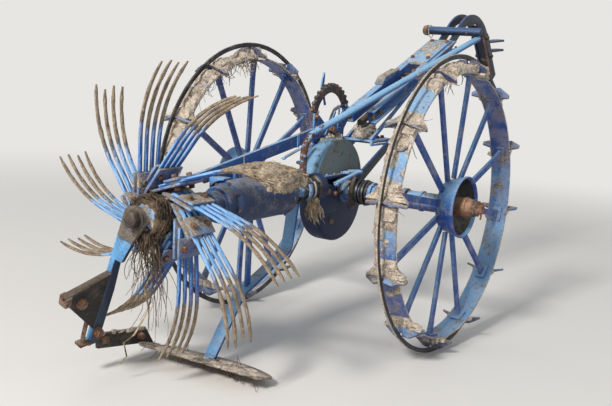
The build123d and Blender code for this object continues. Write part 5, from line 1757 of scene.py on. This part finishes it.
@dataclass
class Drawbar:
    """The two channels with their mud-caked block, rod, plates, ledge and struts."""

    slope: float = math.radians(22.5)
    start: Spot = (112, 309)
    block_rear: float = 120
    block_front: float = 206
    block_half: float = 34
    rod_x: float = 196
    rod_z: float = 292
    rod_radius: float = 15
    collars: tuple[tuple[float, float, float], ...] = ((118, 23, 30), (156, 19, 10), (346, 22, 22))
    plate_half: float = 50
    liner: tuple[Spot, ...] = ((114, -59), (274, -59), (274, 88), (114, 88))
    block_lumps: int = 34
    plate_lumps: int = 16

    def spot(self, distance: float, height: float, y: float) -> Vector:
        """A place on the drawbar.

        Args:
            distance: Along its top edge.
            height: Above that edge.
            y: To the left.

        Returns:
            The place in the chassis.
        """
        cos, sin = math.cos(self.slope), math.sin(self.slope)
        x = self.start[0] + distance * cos - height * sin
        return Vector((x, y, self.start[1] + distance * sin + height * cos))

    def block(self) -> None:
        """Builds the block, caked in lumps of mud."""
        shape = Shape.chassis(101)
        rear, front, half = self.block_rear, self.block_front, self.block_half
        shape.plate([(rear, 197), (front, 197), (front, 264), (164, 246), (rear, 230)], half - 3, 3 - half)
        shape.eased(9, 50, 3)
        shape.divided(5)
        for _ in range(self.block_lumps):
            side = shape.draw.choice((-1, 1, 0))
            x, z = shape.draw.uniform(126, 200), shape.draw.uniform(204, 240)
            y = side * (half - 5) if side else shape.draw.uniform(-28, 28)
            shape.clod((x if side else rear + 5, y, z), shape.random_size(7, 16))
        shape.roughened(3.2, 16)
        shape.made("drawbar_block_caked", Finish.SOIL, "drawbar_block", sharp=50)

    def rod(self) -> None:
        """Dresses the rod and adds its collars."""
        base = Matrix.Translation((self.rod_x, 0, self.rod_z)) @ Matrix.Rotation(math.pi / 2 - self.slope, 4, "Y")
        radius = self.rod_radius
        rod = Shape.chassis(100)
        rod.copied("drawbar_rod")
        rod.eased(0.8)
        rod.turned([(-78, 0), (-78, radius), (2, radius), (2, 0)], 32, base)
        rod.roughened(0.5, 30)
        rod.made("drawbar_rod_dressed", Finish.BROWN, "drawbar_rod")
        shape = Shape.chassis(102)
        for along, reach, length in self.collars:
            profile = shifted(along, (0, radius - 2), (1, reach - 1), (3, reach), (length - 3, reach))
            shape.turned([*profile, (along + length, reach - 2), (along + length, radius - 2)], 32, base)
        shape.roughened(0.8, 9)
        shape.made("drawbar_rod_collars", Finish.BRIGHT_RUST)

    def fasteners(self) -> None:
        """Builds the bolts of the channels, the plate and the ledge."""
        shape = Shape.chassis(103)
        up = (-math.sin(self.slope), 0, math.cos(self.slope))
        for distance in (16, 74):
            for hand in HANDS:
                shape.bolt(self.spot(distance, -27, hand * 41), (0, hand, 0), 19, 10, 13)
        tops = (560, 8, -38), (560, 8, 38), (760, 8, -38), (760, 8, 38), (292, 20, -52), (392, 13, -52)
        for distance, height, y in tops:
            shape.bolt(self.spot(distance, height, y), up, 15, 8, 10)
        for distance in (752, 780):
            shape.bolt(self.spot(distance, -27, -67), TO_RIGHT, 15, 8)
        for x, y in ((222, -30), (222, 30), (262, -30), (262, 30)):
            shape.bolt((x, y, 196), AXIS_Z, 15, 8, 10)
        for y, hand in ((-76, RIGHT_HAND), (106, LEFT_HAND)):
            shape.bolt((255, y, 178), (0, hand, 0), 17, 9, 12)
        shape.made("drawbar_bolts", Finish.RUSTY)

    def lit_end(self) -> None:
        """Builds the folded end of the plate over the channels, drawn pale as painted light, and the caked soil on it.
        """
        half = self.plate_half
        shape = Shape.chassis(104)
        # The fold takes the pale finish, painted light on the plate's end
        fold = [self.spot(524, 7, 0), self.spot(522, 1, 0), self.spot(523, -8, 0)]
        shape.bar(fold, [(half, 1.6)], across=AXIS_Y, corner=0.7)
        shape.made("drawbar_plate_lit_fold", Finish.WIRE)
        soil = Shape.chassis(105)
        for _ in range(self.plate_lumps):
            spot = self.spot(soil.draw.uniform(590, 770), 8, soil.draw.uniform(8 - half, half - 8))
            size = (soil.draw.uniform(10, 26), soil.draw.uniform(8, 18), soil.draw.uniform(1.5, 3))
            soil.clod(spot, size, turn=-self.slope)
        soil.made("drawbar_plate_soil", Finish.SOIL, sharp=50)

    def build(self) -> None:
        """Builds the drawbar."""
        copy_dressed("drawbar_ledge", Finish.PLATE, ease=0.8)
        liner = Shape.chassis(99)
        liner.slab(self.liner, 182, 186)
        liner.eased(0.6)
        liner.made("drawbar_ledge_liner", Finish.GREASE_AND_SHADE)
        copy_dressed("drawbar_strut_left", Finish.BLUE)
        copy_dressed("drawbar_strut_right", Finish.DARK)
        for side in ("left", "right"):
            copy_dressed(f"drawbar_beam_{side}", Finish.BLUE)
            copy_dressed(f"drawbar_stay_{side}", Finish.BLUE, ease=1.2)
        copy_dressed("drawbar_plate", Finish.PLATE, ease=1.2, rough=0.5)
        copy_dressed("beam_cap", Finish.BLUE_MUDDY)
        self.block()
        self.rod()
        self.fasteners()
        self.lit_end()


@dataclass
class Hitch:
    """The arched bow with its inner panel, the jaws, and the cross pin with its ring."""

    limb_end: Spot = (1428, 446)
    limb_corner: Spot = (1150, 815)
    strap: float = 27
    pin_near: float = -172
    pin_far: float = 96
    pin_y: float = 84
    pin_radius: float = 19

    def limb(self, distance: float, out: float, y: float) -> Vector:
        """A place on the bow's front limb.

        Args:
            distance: Up from the limb's end.
            out: Ahead of its middle.
            y: To the left.

        Returns:
            The place in the chassis.
        """
        end, corner = Vector(self.limb_end), Vector(self.limb_corner)
        way = (corner - end).normalized()
        place = end + way * distance + Vector((way.y, -way.x)) * out
        return Vector((place.x, y, place.y))

    def panel(self) -> None:
        """Builds the panel between the front limbs and a bright rust strip on the near limb's rear edge, which also
        paints the highlight there.
        """
        panel = Shape.chassis(111)
        path = [self.limb(distance, -4, 0) for distance in (70, 170, 260, 318)]
        panel.bar(path, [(self.strap, 3)], across=AXIS_Y, corner=1)
        panel.made("hitch_bow_panel", Finish.GREASE_AND_SHADE)
        # The thin bright strip on the near limb's rear edge is rust that also paints the highlight on that edge
        edge = Shape.chassis(112)
        path = [self.limb(distance, -21.6, -self.strap) for distance in (14, 120, 240, 300)]
        edge.bar(path, [(5.2, 1)], across=AXIS_Y, corner=0.4)
        edge.made("hitch_bow_rust_and_highlight_edge", Finish.BRIGHT_RUST)
        bolts = Shape.chassis(113)
        for distance in (132, 244):
            for hand in HANDS:
                bolts.bolt(self.limb(distance, 0, hand * (self.strap + 5)), (0, hand, 0), 19, 11, 13)
        bolts.made("hitch_bow_bolts", Finish.BROWN)

    def pin(self) -> None:
        """Builds the cross pin with its domed head and the thin ring through it."""
        low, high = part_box("cross_pin")
        middle = machine.chassis().inverted() @ ((Vector(low) + Vector(high)) / 2)
        across = Matrix.Translation((middle.x, 0, middle.z)) @ Matrix((AXIS_Y, AXIS_Z, AXIS_X)).to_4x4()
        near, far, radius = self.pin_near, self.pin_far, self.pin_radius
        shape = Shape.chassis(114)
        profile = shifted(near, (0, 0), (0, radius - 4), (2, radius - 1), (5, radius))
        shape.turned([*profile, (far - 2, radius), (far, radius), (far, 0)], 48, across)
        shape.roughened(0.5, 20)
        shape.made("cross_pin_turned", Finish.DARK, "cross_pin")
        head = Shape.chassis(115)
        profile = shifted(far, (-1, 0), (-1, 21), (1, 24), (12, 24), (20, 21), (24, 15), (26, 7), (26, 0))
        head.turned(profile, 40, across)
        head.roughened(0.9, 9)
        head.made("cross_pin_head", Finish.BRIGHT_RUST)
        ring = Shape.chassis(116)
        path = []
        for k in range(25):
            turn = FULL_TURN * (k + 0.2) / 25
            sin = math.sin(turn)
            wide = radius + 5 + 8 * max(-sin, 0)
            path.append(Vector((middle.x + wide * math.cos(turn), self.pin_y + 3 * sin, middle.z + wide * sin)))
        ring.bar(path, [(1.8, 1.8)], sides=8)
        ring.bar([path[18], path[18] + Vector((2, -4, -22))], [(2.2, 2.2)], sides=8)
        ring.made("cross_pin_ring", Finish.WIRE)

    def build(self) -> None:
        """Builds the hitch."""
        copy_dressed("hitch_bow", Finish.DARK, ease=1.4)
        copy_dressed("hitch_jaws", Finish.DARK)
        self.panel()
        self.pin()


@dataclass
class ShareFrame:
    """The rear arm with its gusset, the share bar, the share and its stay."""

    head_x: float = -1162
    reach: float = 46
    drop: float = 468
    foot_y: float = 209
    floor: float = -531
    share_slope: float = math.radians(15)
    share_x: float = -888
    share_lumps: int = 70
    bar_lumps: int = 16
    roots: int = 60

    def spot(self, distance: float, offset: float, ahead: float) -> Vector:
        """A place by its distance down the arm from the shaft, to the arm's left, and ahead of its front face."""
        return Vector((self.head_x, 0, machine.shaft_rise)) + self.axes() @ Vector((distance, offset, ahead))

    def axes(self) -> Matrix:
        """The arm's directions as columns: down it, to its left, and ahead."""
        slant = math.atan2(self.reach, self.drop)
        up = Vector((-math.sin(slant), 0, math.cos(slant)))
        left = Vector(AXIS_Y)
        turn = math.atan2(self.foot_y, math.hypot(self.reach, self.drop))
        down = left * math.sin(turn) - up * math.cos(turn)
        flat = left * math.cos(turn) + up * math.sin(turn)
        return Matrix((down, flat, down.cross(flat))).transposed()

    def fasteners(self) -> None:
        """Builds the bolts of the arm, the gusset and the share bar."""
        shape = Shape.chassis(121)
        right = -self.axes().col[1]
        shape.bolt(self.spot(300, 30, -115), right, 30, 14, 19)
        shape.bolt(self.spot(461, 30, 4), right, 30, 16, 20)
        for x, z in ((-1060, -424), (-890, -452)):
            shape.bolt((x, 238, z), TO_RIGHT, 22, 12, 15)
        shape.made("share_frame_bolts", Finish.BRIGHT_RUST)

    def gusset(self) -> None:
        """Dresses the gusset and adds its turned-over edge, corner block, strip and foot bracket."""
        copy_dressed("share_gusset", Finish.BROWN, ease=1.2, rough=0.6)
        across = self.axes().col[1]
        edge = Shape.chassis(122)
        path = [self.spot(220, 34, -18), self.spot(236, 34, -100), self.spot(253, 34, -197)]
        edge.bar(path, [(12, 3.5)], across=across, corner=1.2)
        edge.made("share_gusset_edge", Finish.BROWN)
        block = Shape.chassis(123)
        block.bar([self.spot(250, 34, -185), self.spot(284, 34, -181)], [(17, 12)], across=across, corner=3)
        path = [self.spot(372, 40, -52), self.spot(420, 40, -48), self.spot(470, 40, -44), self.spot(497, 40, -40)]
        block.bar(path, [(8, 2.5)], across=across, corner=0.8)
        block.bar([self.spot(497, 40, -58), self.spot(500, 40, -10)], [(15, 5)], across=across, corner=1)
        block.eased(0.8)
        block.made("share_gusset_fittings", Finish.RUSTY)

    def head(self) -> None:
        """Builds the washer and the worn bolt head on the shaft's end."""
        washer = Shape.shaft(124)
        profile = shifted(self.head_x - 16, (1, 23.4), (1, 31), (-2, 33), (-4, 33), (-5, 31), (-5, 23.4))
        washer.turned(profile, 40)
        washer.made("shaft_cap_washer", Finish.BROWN, body="rotor")
        copy_dressed("shaft_cap", Finish.BROWN, "rotor", ease=2.4, rough=0.6)
        copy_dressed("rotor_shaft", Finish.MUDDY, "rotor")

    def soil(self) -> None:
        """Builds the soil and the roots caught on the share and its bar."""
        soil = Shape.chassis(125)
        slope = self.share_slope
        for _ in range(self.share_lumps):
            along, y = soil.draw.uniform(4, 150) * soil.draw.random(), soil.draw.uniform(-250, 232)
            spot = (self.share_x + along * math.cos(slope), y, -480 - along * math.sin(slope))
            size = (soil.draw.uniform(14, 36), soil.draw.uniform(14, 34), soil.draw.uniform(3, 9))
            soil.clod(spot, size, turn=slope)
        for _ in range(self.bar_lumps):
            x = soil.draw.uniform(-1080, -880)
            spot = (x, 245 + soil.draw.uniform(-8, 8), -400 - 0.13 * (x + 1100))
            soil.clod(spot, (soil.draw.uniform(8, 20), soil.draw.uniform(4, 9), soil.draw.uniform(3, 8)))
        soil.made("share_soil", Finish.SOIL, sharp=50)
        roots = Strands("share_roots", machine.chassis(), "frame", 126, thick=(0.9, 2.0), finish=Finish.VINE)
        draw = random.Random(127)
        for _ in range(self.roots):
            start = Vector((draw.uniform(-884, -790), draw.uniform(-220, 225), -478))
            start.z -= (start.x - self.share_x) * math.tan(slope)
            roots.wander(start, (draw.uniform(-1, 0.2), draw.uniform(-1, 1), 0.1), draw.uniform(40, 110), 0.4, 0.04)
            for spot in roots.paths[-1]:
                spot.z = max(spot.z, self.floor)
        roots.build()

    def build(self) -> None:
        """Builds the share's frame."""
        copy_dressed("rear_arm", Finish.ARM, rough=0.5)
        copy_dressed("share_bar", Finish.BROWN, ease=1.4, rough=0.6)
        copy_dressed("share", Finish.WORN, ease=1.2)
        copy_dressed("share_stay", Finish.BLUE, rough=0.4)
        copy_dressed("stay_hanger", Finish.BLUE)
        self.head()
        self.gusset()
        self.fasteners()
        self.soil()


@dataclass
class Studio:
    """The floor, the light and the camera."""

    floor_half: float = 60.0
    pale: Colour = (0.8, 0.79, 0.77)
    sky: Colour = (0.94, 0.97, 1.0)
    air: float = 0.34
    middle: Point = (-0.2, 0, 0.6)
    lens: float = 55.35
    sensor: float = 36
    far_clip: float = 200
    camera_from_axle: Point = (-3.224189, -1.90863, 0.473961)
    camera_way: Point = (0.832909, 0.534685, -0.142743)
    camera_up: Point = (0.082746, 0.134711, 0.987424)

    def floor(self) -> None:
        """Lays the plain pale floor, which far away meets the backdrop without a line."""
        shape = bmesh.new()
        bmesh.ops.create_grid(shape, x_segments=1, y_segments=1, size=self.floor_half)
        mesh = bpy.data.meshes.new("floor")
        shape.to_mesh(mesh)
        shape.free()
        graph = Graph(bpy.data.materials.new("pale_floor"))
        shader = graph.node("ShaderNodeBsdfPrincipled", {}, {"Base Color": self.pale, "Roughness": 0.9})
        glow = graph.node("ShaderNodeEmission", {}, {"Color": self.pale})
        far = graph.distance(graph.place(), (0, 0, 0), AXIS_Z).rise(2.6, 7.0)
        seen = graph.node("ShaderNodeLightPath", {}, {}, "Is Camera Ray")
        graph.close(graph.node("ShaderNodeMixShader", {}, {0: far * seen, 1: shader, 2: glow}))
        mesh.materials.append(graph.owner)
        piece = bpy.data.objects.new("floor", mesh)
        bpy.context.scene.collection.objects.link(piece)

    def lamp(self, name: str, spot: Point, size: float, power: float, colour: Colour) -> None:
        """Hangs one soft lamp that points at the machine's middle.

        Args:
            name: Its name.
            spot: Where it hangs.
            size: Its width.
            power: Its power in watts.
            colour: Its colour.
        """
        light = bpy.data.lights.new(name, "AREA")
        light.size = size
        light.energy = power
        light.color = colour
        holder = bpy.data.objects.new(name, light)
        holder.location = spot
        holder.rotation_euler = (Vector(self.middle) - Vector(spot)).to_track_quat("-Z", "Y").to_euler()
        bpy.context.scene.collection.objects.link(holder)

    def lights(self) -> None:
        """Sets the lamps and the sky, which the camera and mirrors see as the pale backdrop."""
        self.lamp("key", (-9.2, -0.8, 6.3), 1.7, 1080, (1.0, 0.96, 0.9))
        self.lamp("fill", (1.5, -5.5, 3.2), 4.0, 34, (0.92, 0.96, 1.0))
        self.lamp("rim", (3.5, 4.5, 4.0), 3.0, 40, (1.0, 0.98, 0.95))
        world = bpy.data.worlds.new("studio_air")
        bpy.context.scene.world = world
        graph = Graph(world)
        air = graph.node("ShaderNodeBackground", {}, {"Color": self.sky, "Strength": self.air})
        backdrop = graph.node("ShaderNodeBackground", {}, {"Color": self.pale})
        camera, mirror = (graph.node("ShaderNodeLightPath", {}, {}, f"Is {ray} Ray") for ray in ("Camera", "Glossy"))
        blend = graph.node("ShaderNodeMixShader", {}, {0: camera.larger(mirror), 1: air, 2: backdrop})
        graph.close(blend, "ShaderNodeOutputWorld")

    def camera(self) -> None:
        """Places the camera at the photo's viewing angle."""
        scene = bpy.context.scene
        data = bpy.data.cameras.new("view")
        data.lens = self.lens
        data.sensor_width = self.sensor
        data.sensor_fit = "HORIZONTAL"
        data.clip_end = self.far_clip
        holder = bpy.data.objects.new("view", data)
        way = Vector(self.camera_way)
        side = way.cross(Vector(self.camera_up)).normalized()
        turn = Matrix((side, side.cross(way).normalized(), -way)).transposed().to_4x4()
        holder.matrix_world = Matrix.Translation(machine.axle + Vector(self.camera_from_axle)) @ turn
        scene.collection.objects.link(holder)
        scene.camera = holder
        scene.view_settings.view_transform = "Standard"

    def build(self) -> None:
        """Builds the whole studio."""
        self.floor()
        self.lights()
        self.camera()


# Where soil lies thick on the bands: middle and half width in degrees, and its depth
NEAR_SOIL = (
    (-16, 16, 16), (4, 12, 10), (-60, 9, 12), (-76, 4, 5), (-90, 8, 11),
    (-116, 3, 5), (-146, 5, 5), (132, 10, 2), (172, 7, 2))
FAR_SOIL = ((-24, 26, 15), (-70, 22, 18), (-102, 12, 14), (30, 20, 6), (68, 8, 5), (-150, 20, 5))

# Blocks of soil on the bands: turn, radius, outboard, and half its length, height and width
NEAR_BLOCKS = (
    (11, 512, 12, 28, 22, 36), (2, 508, 22, 26, 16, 26), (-6, 514, -4, 26, 18, 30), (-14, 512, 12, 26, 18, 32),
    (-22, 514, -6, 28, 20, 36), (-29, 510, 8, 26, 16, 32), (16, 514, 22, 18, 24, 24), (-55, 510, 8, 26, 14, 32),
    (-61, 508, -4, 22, 13, 34), (-88, 508, 4, 24, 13, 34))
FAR_BLOCKS = (
    (0, 516, 0, 18, 26, 34), (-8, 508, -10, 30, 16, 34), (-26, 512, 0, 30, 20, 36), (-36, 510, 6, 28, 16, 32),
    (-60, 512, -6, 32, 20, 36), (-74, 510, 2, 30, 18, 36), (32, 514, 0, 20, 16, 30), (62, 512, 4, 20, 14, 30))

# How much soil each lug carries, from the one ahead of the top forwards
NEAR_LOADS = (0.8, 0.25, 0.15, 0.1, 0.15, 0.35, 0.5, 0.85, 0.9, 1.0, 1.0, 1.0)
FAR_LOADS = (1.0, 0.7, 0.6, 0.3, 0.2, 0.3, 0.4, 0.6, 0.8, 1.0, 1.0, 1.0)

# Straw on the bands: middle and half width in degrees, and how many stalks
NEAR_STRAW = ((-58, 12, 14), (-88, 8, 12), (-8, 12, 10))
FAR_STRAW = ((-14, 14, 90), (-40, 10, 30), (-88, 10, 24))


def main() -> None:
    """Builds every sub-assembly in order."""
    Studio().build()
    # The outer rings' finishes are dark, to paint the shade on their sides
    LandWheel("right", RIGHT_HAND, 9.0, NEAR_SOIL, NEAR_BLOCKS, NEAR_LOADS, NEAR_STRAW, Finish.RING).build()
    LandWheel("left", LEFT_HAND, 1.0, FAR_SOIL, FAR_BLOCKS, FAR_LOADS, FAR_STRAW, Finish.GREASE_AND_SHADE).build()
    for assembly in (Axle, GearBox, ShaftHousing, Rotor, ShareFrame, MainBeam, Controls, Drawbar, Hitch):
        log.info("%s", assembly.__name__)
        assembly().build()


if __name__ == "__main__":
    main()
